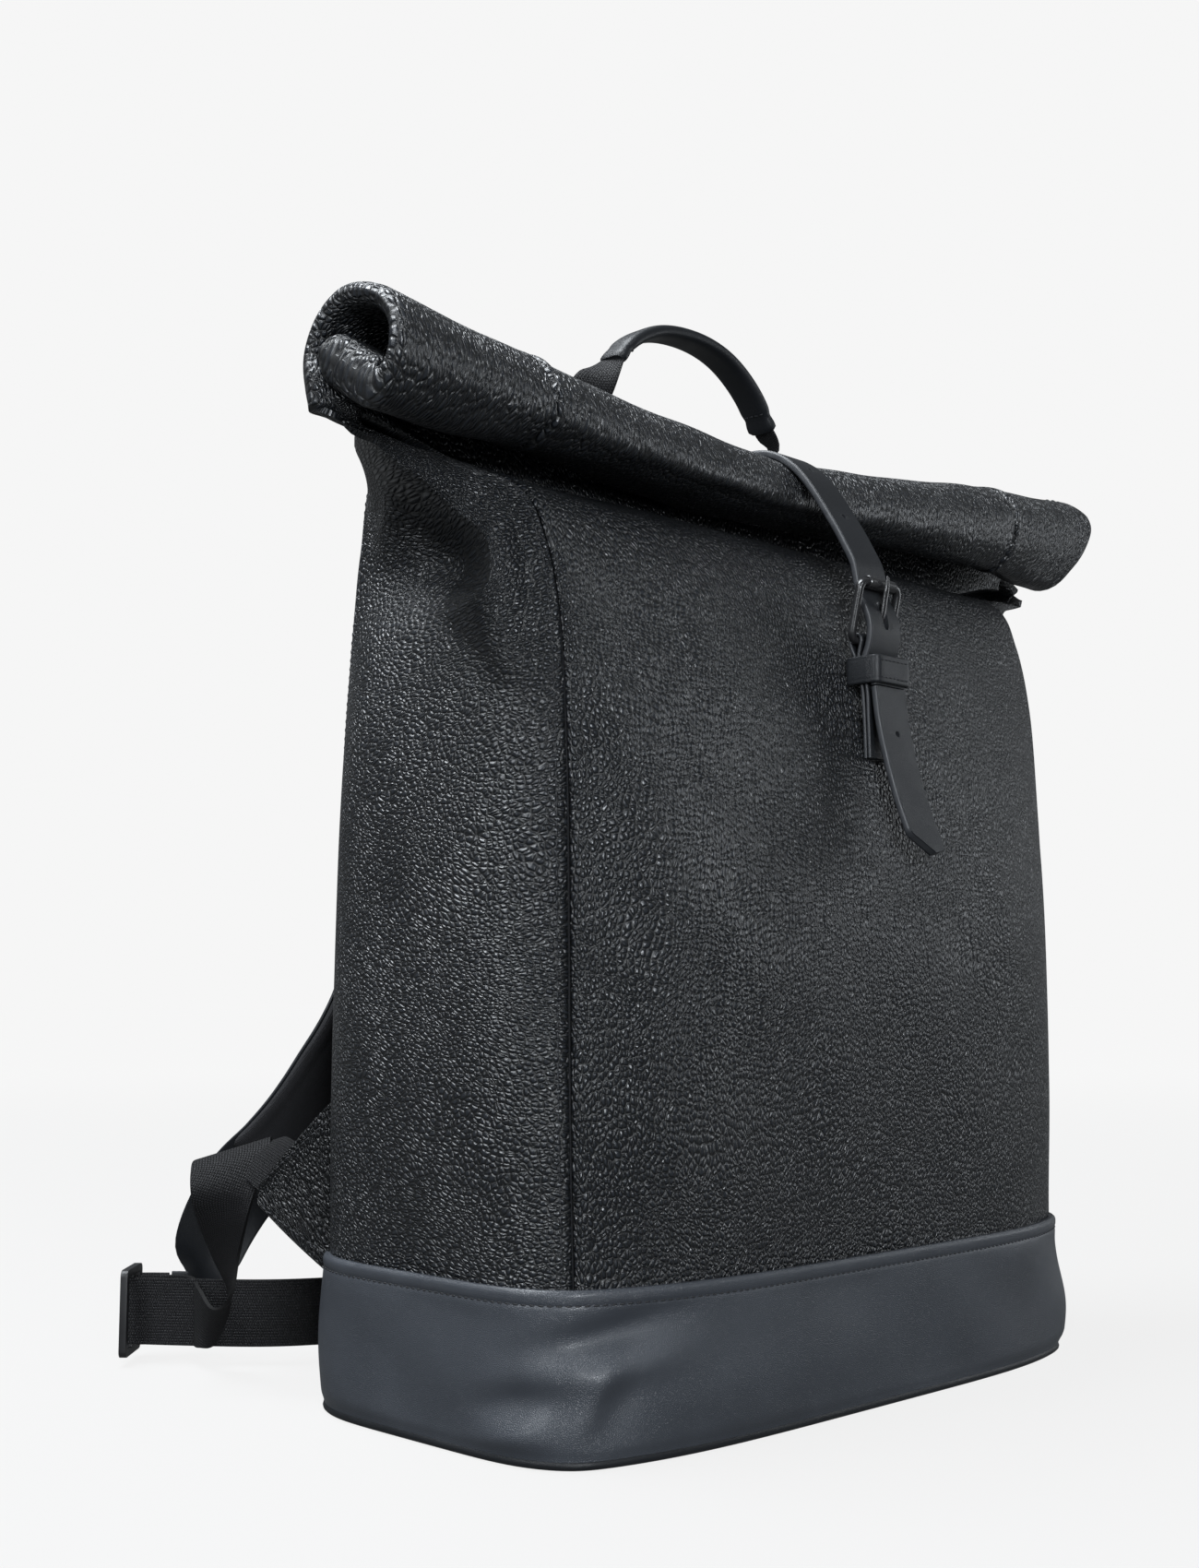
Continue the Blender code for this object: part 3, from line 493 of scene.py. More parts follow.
def smooth_look(name, colour, rough, depth, specular):
    """Smooth dyed leather with fine pores, faint cloudiness and small scuffs."""
    look = Look(name)
    place = look.warp(look.place(), 300.0, .0006)
    pores = look.ramp(look.cells(look.stretch(place, 1500.0, 1500.0)), 0.0, .22)
    micro = look.noise(look.place(), 1700.0, 3.0)
    cloud = look.noise(look.place(), 38.0, 4.0)
    height = look.math("MULTIPLY_ADD", micro, .7, look.product(pores, .6))
    normal = look.bump(height, depth)
    roughness = look.ramp(cloud, .25, .75, rough - .06, rough + .08)
    return look.finish(look.mix(cloud, times(colour, .78), times(colour, 1.2)), roughness,
                       normal, specular)


def edge_look(name, colour=(.030, .032, .036), rough=.34):
    """Painted or burnished cut edge, slightly uneven."""
    look = Look(name)
    layers = look.noise(look.stretch(look.place(), 900.0, 160.0), 1.0, 3.0)
    return look.finish(look.mix(layers, times(colour, .6), colour),
                       look.ramp(layers, .3, .7, rough, rough + .15),
                       look.bump(layers, .00006), .5)


def thread_look():
    look = Look("thread")
    across, along = look.across_along()
    twist = look.ripple(look.math("MULTIPLY_ADD", across, 2600.0, look.product(along, 5200.0)))
    return look.finish(look.mix(twist, (.004, .004, .005), (.020, .021, .024)), .55,
                       look.bump(twist, .00006), .35)


def webbing_look(name, colour):
    """Woven webbing: narrow ribs along it, each made of small offset ticks."""
    rib, step = .00125, .0011  # width of a rib and length of a tick
    look = Look(name)
    across, along = look.across_along()
    across = look.math("DIVIDE", across, rib)
    row = look.math("FLOOR", across)
    along = look.math("ADD", look.math("DIVIDE", along, step), look.product(row, .5))
    bar = look.ripple(look.product(along, math.pi))
    groove = look.ripple(look.product(across, math.pi))
    weave = look.product(look.ramp(groove, 0.0, .6), look.ramp(bar, 0.0, .8, .25, 1.0))
    fluff = look.noise(look.place(), 2600.0, 3.0)
    height = look.math("MULTIPLY_ADD", fluff, .25, weave)
    # Painted shade and highlight: the colour is much darker in the grooves between ribs and
    # between ticks, and lighter on their tops.
    return look.finish(look.mix(weave, times(colour, .15), times(colour, 2.4)),
                       look.ramp(fluff, .3, .7, .55, .75), look.bump(height, .0006), .25)


def cloth_look(name, colour, pitch):
    """Plain woven cloth."""
    look = Look(name)
    weft, warp = (look.math("SINE", look.product(way, 2 * math.pi / pitch))
                  for way in look.across_along())
    weave = look.math("ABSOLUTE", look.product(weft, warp))
    slub = look.noise(look.place(), 160.0, 4.0)
    tone = look.product(look.ramp(weave, 0, .7, .5, 1.0), look.ramp(slub, .2, .8, .8, 1.1))
    return look.finish(look.mix(tone, times(colour, .4), colour), .85,
                       look.bump(weave, .00020), .25)


def solid_look(name, colour, rough, texture, depth, specular):
    """Metal, plastic or board, whose fine texture needs no place on the material."""
    look = Look(name)
    place = look.node("ShaderNodeTexCoord").outputs["Object"]
    fine = look.noise(place, texture, 3.0)
    cloud = look.noise(place, 60.0, 3.0)
    return look.finish(look.mix(cloud, times(colour, .75), colour),
                       look.ramp(cloud, .3, .7, rough - .04, rough + .06),
                       look.bump(fine, depth), specular)


LOOKS = {
    "pebbled": pebbled_look("pebbled_leather_body"),
    "pebbled_side": pebbled_look("pebbled_leather_gusset", wide=.0028, tall=.0017),
    "pebbled_roll": pebbled_look("pebbled_leather_roll", wide=.0016, tall=.0034, flow=.018),
    "pebbled_coarse": pebbled_look("pebbled_leather_tab", wide=.0024, tall=.0021,
                                   depth=.0014, light=(.0065, .0075, .0090), specular=.32),
    # The band's colour is set several times lighter than the body leather's: partly its own smooth
    # dark dye, partly painted sheen of the bright room on it.
    "band": smooth_look("smooth_leather_band", (.0340, .0385, .0465), .36, .00009, .5),
    "strap": smooth_look("smooth_leather_strap", (.0080, .0090, .0108), .44, .00005, .28),
    "edge": edge_look("painted_edge"),
    "cut_edge": edge_look("cut_edge", (.34, .34, .35), .5),
    "thread": thread_look(),
    "webbing": webbing_look("webbing", (.0034, .0034, .0040)),
    "lining": cloth_look("lining_cloth", (.030, .031, .034), .0007),
    "cover": cloth_look("padding_cover", (.016, .016, .018), .0011),
    "metal": solid_look("black_coated_metal", (.014, .014, .015), .26, 900.0, .00001, .5),
    "plastic": solid_look("black_plastic_moulded", (.012, .012, .013), .42, 2600.0, .00003, .45),
    "board": solid_look("stiff_board", (.060, .055, .050), .9, 700.0, .0001, .3),
}


# ---- the body surface ------------------------------------------------------------------
def row_value(key, t):
    column = ROW_KEYS.index(key)
    return smooth([row[0] for row in ROWS], [row[column] for row in ROWS], t)


def body_point(u, t):
    """A point of the outer leather. u runs round the bag: 0 to 1 the front from its left
    seam to its right, 1 to 2 the right side, 2 to 3 the back, 3 to 4 the left side.
    t runs up it, from 0 at the base to 1 at the neck."""
    u = np.mod(np.asarray(u, float), 4.0)
    t = np.clip(np.asarray(t, float), 0.0, 1.0)
    u, t = np.broadcast_arrays(u, t)
    row = {key: row_value(key, t) for key in ROW_KEYS}
    face = np.floor(u).astype(int)
    s = 2 * (u - face) - 1
    round_front = 1 - np.abs(s) ** FRONT_SHARP
    round_side = 1 - np.abs(s) ** row["sharp"]
    turn = np.where(face == 3, -s, s)  # along a side, from its front seam to its back seam
    side_x = row["x_seam"] + (row["x_side"] - row["x_seam"]) * round_side
    seam_mix = (turn + 1) / 2
    side_y = row["y_seam"] + (row["y_back_seam"] - row["y_seam"]) * seam_mix
    middle_y = (row["y_seam"] + row["y_back_seam"]) / 2
    side_y = side_y + (row["y_side"] - middle_y) * (1 - turn**2)
    side_z = row["z_seam"] + (row["z_back"] - row["z_seam"]) * seam_mix
    middle_z = (row["z_seam"] + row["z_back"]) / 2
    side_z = side_z + (row["z_side"] - middle_z) * (1 - turn**2)
    x = np.choose(face, [row["x_seam"] * s, side_x, -row["x_seam"] * s, -side_x])
    y = np.choose(face, [row["y_seam"] + (row["y_front"] - row["y_seam"]) * round_front, side_y,
                         row["y_back_seam"] + (row["y_back"] - row["y_back_seam"]) * round_front,
                         side_y])
    z = np.choose(face, [row["z_seam"] + (row["z_front"] - row["z_seam"]) * round_front, side_z,
                         row["z_back"], side_z])
    return np.stack([x, y, z], axis=-1)


def outward_of(u, t):
    u, t = np.broadcast_arrays(np.asarray(u, float), np.asarray(t, float))
    low, high = np.clip(t - 0.01, 0, 1), np.clip(t + 0.01, 0, 1)
    around = body_point(u + 0.03, t) - body_point(u - 0.03, t)
    upward = body_point(u, high) - body_point(u, low)
    return unit(np.cross(around, upward))


def body_offset(u, t, depth):
    """A point that lies depth inside the outer leather (outside it, where depth is negative)."""
    u, t, depth = np.broadcast_arrays(*(np.asarray(v, float) for v in (u, t, depth)))
    return body_point(u, t) - outward_of(u, t) * depth[..., None]


def t_at(key, z):
    places = np.linspace(0, 1, 400)
    return float(np.interp(z, row_value(key, places), places))


def grid_distance(points, axis):
    """Distance of each grid point from the first, measured along one way of the grid."""
    steps = np.linalg.norm(np.diff(points, axis=axis), axis=-1)
    pad = [(0, 0), (0, 0)]
    pad[axis] = (1, 0)
    return np.pad(np.cumsum(steps, axis=axis), pad)


def grain_of(points):
    return np.stack([grid_distance(points, 1), grid_distance(points, 0)], axis=-1)


def border_of(grain):
    """Distance of each point of a sheet from the sheet's nearest edge."""
    across, up = grain[..., 0], grain[..., 1]
    return np.minimum(np.minimum(across, across[:, -1:] - across), np.minimum(up, up[-1:] - up))


def softness(across, up, phase):
    """Slow waves of soft leather, a millimetre or less."""
    return (.00060 * np.sin(across * 31 + up * 11 + phase)
            + .00045 * np.sin(up * 37 - across * 23 + 1.7 * phase)
            + .00030 * np.sin(across * 71 + up * 59 + 2.9 * phase))


# The fold that runs from the ear down to the front seam: where it lies across the gusset
# at each height, how wide it is, and how far it stands off, outwards, to the back and up.
FOLD_T = (.66, .72, .77, .82, .86, .90, .94, .97, 1.0)
FOLD_TURN = (-.62, -.66, -.70, -.68, -.60, -.47, -.36, -.33, -.32)
FOLD_HALF = (.34, .34, .33, .31, .30, .27, .24, .22, .22)
FOLD_OUT = ((0, 0, 0), (.0012, -.0008, 0), (.0050, -.0034, .0006), (.0092, -.0058, .0022),
            (.0088, -.0066, .0030), (.0062, -.0076, .0016), (.0046, -.0060, .0004),
            (.0040, -.0020, .0040), (.0020, .0000, .0060))
FOLD_SHARE = .3  # the rest of the fold is made by MOUTH_FOLD

# Axis and radius of the thick rounded fold that comes out of the roll's left end.
MOUTH_FOLD = ((-.2290, -.0090, .3850, .0085), (-.2090, -.0124, .3719, .0105),
              (-.1890, -.0185, .3580, .0115), (-.1690, -.0248, .3482, .0130),
              (-.1653, -.0325, .3374, .0140), (-.1650, -.0371, .3219, .0140),
              (-.1628, -.0404, .3062, .0125), (-.1600, -.0440, .2850, .0100))


def around_fold(points, side=-1, size=1.0):
    """Pushes points out, towards the front and the side, to the face of the rounded fold."""
    line = spread(MOUTH_FOLD, 110)
    centres, radii = line[:, :3] * (-side, 1, 1), line[:, 3] * size
    way = unit(np.array([.50 * side, -.85, -.10]))
    flat = points.reshape(-1, 3).copy()
    close = np.flatnonzero(flat[:, 0] * side > .120)
    offset = flat[close, None] - centres[None]
    depth = offset @ way
    aside = np.linalg.norm(offset - depth[..., None] * way, axis=2)
    nearest = np.argmin(aside / radii, axis=1)
    pick = np.arange(len(close)), nearest
    depth, aside, radius = depth[pick], aside[pick], radii[nearest]
    face = np.where(aside < radius, np.sqrt(np.maximum(radius**2 - aside**2, 0)),
                    (radius - aside) * 4)
    push = (face - depth + np.sqrt((face - depth) ** 2 + .0030**2)) / 2
    push *= ease(depth, -.030, -.018) * ease(radius * 1.8 - aside, 0, .006)
    flat[close] += way * push[:, None]
    return flat.reshape(points.shape)


def gusset_shift(turn, t):
    """How far the fold and the hollow behind it move the left gusset, as (x, y, z)."""
    d = (turn - smooth(FOLD_T, FOLD_TURN, t)) / smooth(FOLD_T, FOLD_HALF, t)
    fold = FOLD_SHARE * np.exp(-np.abs(d) ** 2.4) * ease(turn, -1.0, -.86)
    shift = smooth(FOLD_T, FOLD_OUT, t) * fold[..., None]
    shift[..., 0] *= -1
    hollow = .0095 * hump(turn, -.02, .33) * hump(t, .850, .048)
    crease_turn = smooth((.74, .80, .86, .9), (-.55, -.30, -.1, .1), t)
    crease = .0022 * hump(turn - .02, crease_turn, .12) * hump(t, .80, .035)
    back_turn = smooth((.80, .86, .90, .96), (.62, .50, .22, .10), t)
    back = .0040 * hump(turn, back_turn, .15) * hump(t, .885, .045)
    shift[..., 0] += hollow + crease - back
    return shift


def seam_places(total):
    """Distances across a panel, close together near its two seams."""
    near = [0, .0006, .0012, .0018, .0025, .0032, .0038, .0045, .0055, .0070, .0090, .0115]
    count = int((total - 2 * near[-1]) / .0032)
    middle = np.linspace(near[-1], total - near[-1], count + 1)[1:-1]
    return np.concatenate([near, middle, total - np.array(near[::-1])])


def panel(node, face, look, phase, stitched=False):
    """One panel of the body with turned-in seams, and topstitched along them if asked."""
    margin = .0016
    fine = np.linspace(face + margin, face + 1 - margin, 600)
    run = distances(body_point(fine, .45))
    us = np.interp(seam_places(run[-1]), run, fine)
    low = t_at("z_front", BAND_TOP - PANEL_TUCK)
    ts = np.concatenate([np.linspace(low, .70, 70, endpoint=False), np.linspace(.70, 1.0, 62)])
    uu, tt = np.meshgrid(us, ts)
    base, outward = body_point(uu, tt), outward_of(uu, tt)
    left = grid_distance(base, 1)
    right = left[:, -1:] - left
    seam = np.minimum(left, right)
    up = grid_distance(base, 0)
    relief = -.0021 * np.exp(-seam / .0015) + softness(left, up, phase) * ease(seam, .004, .03)
    relief += .00035 * hump(seam, .0042, .0022)
    if stitched:
        relief -= .00045 * hump(seam, STITCH_INSET, .0006)
    if face in (1, 3):
        turn = 2 * (uu - face) - 1
        turn = -turn if face == 3 else turn
        shift = gusset_shift(turn, tt)
        if face == 1:
            shift[..., 0] *= -1
            shift *= .6
        base = base + shift
    if face != 2:
        base = around_fold(around_fold(base), 1, .8)
    outer = base + outward * relief[..., None]
    inner = base - outward * (LEATHER - np.minimum(relief, 0) * .8)[..., None]
    grain = np.stack([left + .7 * face, up], axis=-1)
    made = sheet_solid(node + "_leather", outer, inner, look, grain)
    declare(made, "bag", "pebbled_leather", node)
    for key, gap in (("a", left), ("b", right)) if stitched else ():
        line, way = [], []
        for i in range(6, len(ts) - 8):
            order = np.argsort(gap[i])
            line.append([np.interp(STITCH_INSET, gap[i][order], outer[i][order][:, k])
                         for k in range(3)])
            way.append(outward[i][np.argmin(np.abs(gap[i] - STITCH_INSET))])
        stitch_row(f"{node}_stitches_{key}", line, way, "bag", "pebbled_leather",
                   pitch=.0036, length=.0027)


def make_body():
    panel("front_panel", 0, LOOKS["pebbled"], 0.3)
    panel("back_panel", 2, LOOKS["pebbled"], 2.1)
    panel("right_gusset", 1, LOOKS["pebbled_side"], 1.2, stitched=True)
    panel("left_gusset", 3, LOOKS["pebbled_side"], 4.0, stitched=True)

    # Lining: a thin cloth cup a little inside the leather.
    us = np.linspace(0, 4, 160, endpoint=False)
    ts = np.linspace(.02, .86, 60)
    uu, tt = np.meshgrid(us, ts)
    over_back = np.clip(np.minimum(np.clip(uu - 2, 0, 1), 1 - np.clip(uu - 2, 0, 1)) / .10, 0, 1)
    depth = LEATHER + .0016 + .0058 * ease(over_back, 0, 1)
    for face in (1, 3):
        turn = (2 * (uu - face) - 1) * (1 if face == 1 else -1)
        on_side = (uu >= face) & (uu <= face + 1)
        inward = gusset_shift(turn, tt)[..., 0]
        depth = depth + np.where(on_side, np.maximum(inward, 0), 0)
    outer, inner = body_offset(uu, tt, depth), body_offset(uu, tt, depth + .0008)
    grain = np.stack([uu * .23, tt * .36], axis=-1)
    declare(sheet_solid("lining_cloth_cup", outer, inner, LOOKS["lining"], grain, wrap=True),
            "bag", "lining", "lining")

    # Padding behind the back panel: a low pad with rounded borders.
    us, ts = np.linspace(2.13, 2.87, 50), np.linspace(.13, .73, 50)
    uu, tt = np.meshgrid(us, ts)
    edge = np.minimum(np.minimum(uu - 2.13, 2.87 - uu) / .06, np.minimum(tt - .13, .73 - tt) / .05)
    full = rounding(edge, 1, .04)
    middle = LEATHER + .0034
    outer = body_offset(uu, tt, middle - .0024 * full)
    inner = body_offset(uu, tt, middle + .0024 * full)
    pad = sheet_solid("back_padding", outer, inner, LOOKS["cover"], grain_of(outer))
    declare(pad, "bag", "foam", "back_foam")


def band_relief(p, z):
    """Dents and creases of the base band. p is the distance from the front left corner,
    positive along the front and negative along the left side."""
    out = .0010 * hump(z, .026, .022)
    upper = z - (.0405 + .16 * (p - .010) + .9 * (p - .010) * np.abs(p - .010))
    out += hump(p, .011, .024) * (.0026 * hump(upper, -.0085, .0062)
                                  - .0042 * hump(upper, .0050, .0062))
    lower = z - (.0170 + .20 * (p + .020))
    out += hump(p, -.022, .017) * (.0018 * hump(lower, -.0070, .0055)
                                   - .0034 * hump(lower, .0060, .0060))
    stem = p - .42 * (z - .012)
    out += .0017 * hump(stem, 0, .0045) * hump(z, .0240, .0120)
    out -= .0012 * hump(stem, .0110, .0060) * hump(z, .0220, .0110)
    out += -.0010 * hump(p, -.095, .030) * hump(z, .030, .016)
    out += .0010 * hump(p, .095, .040) * hump(z - .10 * (p - .095), .024, .012)
    out += -.0012 * hump(p, .255, .030) * hump(z, .028, .016)
    out += .0022 * hump(p, .315, .020) * hump(z, .022, .016)
    return out


def rounded_ring(sheet):
    """Smooths closed rows of points, so that the corners of the ring turn softly."""
    for _ in range(14):
        sheet = (np.roll(sheet, 1, 1) + 2 * sheet + np.roll(sheet, -1, 1)) / 4
    return sheet


def make_band():
    stitch_z = BAND_TOP - .0050
    fine = np.linspace(2.5, 6.5, 2400)  # starts and ends in the middle of the back
    run = distances(body_point(fine, .08))
    wanted = np.linspace(0, run[-1], 460, endpoint=False)
    us = np.interp(wanted, run, fine)
    heights = np.concatenate([np.linspace(.0030, .050, 34, endpoint=False),
                              np.linspace(.050, BAND_TOP + .0002, 16)])
    ts = np.interp(heights, row_value("z_front", np.linspace(0, .3, 200)), np.linspace(0, .3, 200))
    uu, tt = np.meshgrid(us, ts)
    zz = np.broadcast_to(heights[:, None], uu.shape)
    p = (wanted - np.interp(4.0, fine, run))[None, :]
    low = ease(zz, .002, .010)
    relief = band_relief(p, zz) * low * ease(BAND_TOP - zz, .002, .008)
    relief += .00035 * hump(zz, BAND_TOP - .0022, .0024)
    relief -= .00040 * hump(zz, stitch_z, .0007)
    relief -= .0010 * np.clip(1 - (BAND_TOP - zz) / .0011, 0, 1) ** 2
    relief -= .0008 * (1 - ease(zz, .0030, .0075))
    ends = np.minimum(wanted, run[-1] - wanted)[None, :]
    waves = softness(p + 0 * zz, zz * 2, 5.0) * ease(ends, 0, .05)
    relief += waves * .8 * low * ease(BAND_TOP - zz, .003, .012)
    base = rounded_ring(body_offset(uu, tt, -.0006))
    base[..., 2] = heights[:, None]
    around = np.roll(base, -1, 1) - np.roll(base, 1, 1)
    outward = unit(np.cross(around, np.gradient(base, axis=0)))
    outer = base + outward * (BAND_GAP + BAND_THICK + relief)[..., None]
    inner = base + outward * (BAND_GAP + np.minimum(relief, 0))[..., None]
    for sheet in (outer, inner):
        sheet[..., 2] = heights[:, None]
    grain = np.stack([np.broadcast_to(wanted[None, :], uu.shape), zz], axis=-1)
    band = sheet_solid("base_band_leather", outer, inner, LOOKS["band"], grain, wrap=True)
    declare(band, "bag", "smooth_leather", "base_band")
    row = int(np.argmin(np.abs(heights - stitch_z)))
    line = np.concatenate([outer[row], outer[row, :1]])
    way = outward_of(uu[row], tt[row])
    stitch_row("base_band_stitches", line, np.concatenate([way, way[:1]]), "bag",
               "smooth_leather", pitch=.0033, length=.0025)

    # Welt along the lower edge.
    edge = rounded_ring(body_offset(us, 0.0, -.0010)[None])[0]
    edge[:, 2] = .0021
    welt = sweep("bottom_welt", edge, (0, 0, 1), circle(.0019, 12), LOOKS["strap"], closed=True)
    declare(welt, "bag", "smooth_leather", "bottom_piping")


# ---- the rolled mouth --------------------------------------------------------------------
def roll_rise(x):
    return smooth([p[0] for p in ROLL_RISE], [p[1] for p in ROLL_RISE], x)


def roll_line(x):
    """The middle line of the roll in (y, z) at a place along its length."""
    centre = spread(ROLL, ROLL_POINTS)
    height = ease(centre[:, 1], .368, .392)
    neck = ease(-centre[:, 1], -.386, -.366) * (centre[:, 0] > -.020)
    centre[:, 1] += .0085 * ease(abs(x), .17, .228) * neck  # the neck rises at both ends
    pulled = 1 - 0.08 * math.exp(-((x / 0.05) ** 2))
    centre[:, 0] = NECK_Y + (centre[:, 0] - NECK_Y) * pulled
    centre[:, 1] += roll_rise(x) * height
    return centre


def end_slant(x, z):
    """The right end of the roll is slanted: lower down, it stops shorter."""
    return 0.65 * np.clip((x - 0.14) / 0.094, 0, 1) * np.clip(0.412 - z, 0, 0.045)


def roll_sides(x, full=1.0):
    """Both faces of the rolled leather at one place along it, in (y, z)."""
    centre = roll_line(x)
    tangent = unit(np.gradient(centre, axis=0))
    normal = np.stack([tangent[:, 1], -tangent[:, 0]], axis=1)
    s = np.linspace(0, 1, ROLL_POINTS)
    far = abs(x) / ROLL_HALF
    thick = .0060 + .0025 * far**2
    tongue = (.0030 + .0072 * ease(far, .62, .9)) * ease(s, .70, .80)
    rounding = np.sqrt(np.clip(1 - (np.clip(s - .95, 0, .05) / .0505) ** 2, .02, 1))
    thick = (thick + tongue) * rounding * full
    wave = (.0005 * np.sin(x * 27 + s * 9) + .0003 * np.sin(x * 61 - s * 17 + 1.0)
            + .0002 * np.sin(x * 131 + s * 31 + 2.0))
    pinch = 0.0
    for seam in ROLL_SEAMS:
        pinch = pinch - .0018 * hump(x, seam, .0011) + .0011 * hump(x, seam + .0026, .0016)
        pinch = pinch + .0004 * hump(x, seam - .0030, .0022)
    press = -.0012 * hump(x, 0, .016)
    relief = (wave * ease(abs(x), .014, .05) + pinch + press) * ease(s, .05, .15)
    outer = centre + normal * (thick / 2 + relief)[:, None]
    inner = centre - normal * (thick / 2 - relief * .6)[:, None]
    return outer, inner, normal


def make_roll():
    count = ROLL_POINTS
    rim = .0044  # width of the rounding at both ends
    fold_points = 22  # the last points of the inner face, at the neck, follow the fold
    turns = np.linspace(0, 1, 9)[1:]
    near = rim * (1 - np.sin(turns * math.pi / 2))[::-1]
    body = np.linspace(-ROLL_HALF + rim, ROLL_HALF - rim, 196)
    near_seam = np.array([-.0045, -.003, -.0018, -.0009, 0, .0009, .0018, .003, .0045])
    seams = np.concatenate([seam + near_seam for seam in ROLL_SEAMS])
    body = np.unique(np.round(np.concatenate([body, seams]), 5))
    xs = np.concatenate([-ROLL_HALF + near[:-1], body, (ROLL_HALF - near[:-1])[::-1]])
    points, grain = [], []
    for x in xs:
        short = max(0.0, abs(x) - (ROLL_HALF - rim)) / rim
        full = math.sqrt(max(1 - short**2, .03))
        outer, inner, _ = roll_sides(x, full)
        along = distances(roll_line(x))
        ring = np.concatenate([outer, inner[::-1]])
        ring = np.array([(x - end_slant(x, z), y, z) for y, z in ring])
        if x < -.150:
            ring[-fold_points:] = around_fold(ring[-fold_points:])
        points += list(ring)
        grain += [(x, a) for a in np.concatenate([along, along[::-1]])]
    size = 2 * count
    points = np.array(points)
    faces = grid_faces(len(xs), size, True)
    for start in (0, (len(xs) - 1) * size):
        for k in range(count - 1):
            faces.append((start + k, start + k + 1, start + size - 2 - k, start + size - 1 - k))
    roll = add_mesh("rolled_mouth", points, faces, LOOKS["pebbled_roll"], grain=np.array(grain),
                    sharp=0)
    declare(roll, "bag", "pebbled_leather", "rolled_collar", "mouth_hem")
    place, seen = ROLL_HALF - .0135, slice(8, 62)
    outer, _, normal = roll_sides(place)
    line = [(place - end_slant(place, z), y, z) for y, z in outer[seen]]
    way = np.pad(normal[seen], ((0, 0), (1, 0)))
    stitch_row("roll_hem_stitches_right", line, way, "bag", "pebbled_leather",
               pitch=.0036, length=.0027)


# ---- closure strap and buckle ---------------------------------------------------------
HEEL = np.array([0, -.0868, .3095])  # heel bar of the buckle
ROLLER = np.array([0, -.0925, .3335])  # roller bar
BAR_R = 0.0016
ROLLER_R = 0.0027
FRAME_HALF = 0.0128
CHAPE_LEATHER = 0.0016
TAIL = ((0, -.0959, .2893), (0, -.0975, .2760), (0, -.1010, .2600), (0, -.1070, .2400),
        (0, -.1150, .2200))


def buckle_point(along, out, x=0.0):
    """A point given in the buckle: along from the heel bar to the roller, out to the front."""
    axis = unit(ROLLER - HEEL)
    front = np.array([0, -axis[2], axis[1]])
    return HEEL + axis * along + front * out + np.array([x, 0, 0])


def strap_line():
    """Middle line of the closure strap, from the yoke on the back to the keeper."""
    half = STRAP_LEATHER / 2
    outer, _, normal = roll_sides(0.0)
    held = [(0, y, z) for y, z in (outer + normal * (half + .0003))[26:52:4]]
    sewn = body_offset(2.5, np.linspace(t_at("z_back", 0.3690), 0.985, 6), -half - .0009)
    over = [*sewn, (0, -.0040, .3950), *held]
    over += [(0, -.0735, .3650), (0, -.0815, .3515), (0, -.0862, .3420)]
    through = [buckle_point(.0247, -ROLLER_R - half - .0007),
               buckle_point(.0190, -.0024), buckle_point(.0125, .0030),
               buckle_point(.0060, .0062), buckle_point(-.0010, .0068),
               buckle_point(-.0080, .0062)]
    down = [(0, -.0956, .2950), (0, -.0958, .2900)]
    return over + through + down


def edge_stitches(name, line, outward, body):
    """A row of stitches along each edge of the closure strap."""
    for label, side in (("a", -1), ("b", 1)):
        row = line + np.array([side * .0074, 0, 0]) + outward * (STRAP_LEATHER / 2 + .00012)
        stitch_row(f"{name}_{label}", row, outward, body, "smooth_leather",
                   pitch=.0033, length=.0024, radius=.00033)


def punch(piece, line, place):
    """A round hole through the strap at the point of its line that is nearest to a place."""
    index = int(np.argmin(np.linalg.norm(line - np.array(place), axis=1)))
    out = unit(np.cross(line[index + 1] - line[index - 1], (1, 0, 0)))
    cut_out(piece, rod("hole", line[index] - out * .005, line[index] + out * .005, .0013,
                       LOOKS["edge"]))


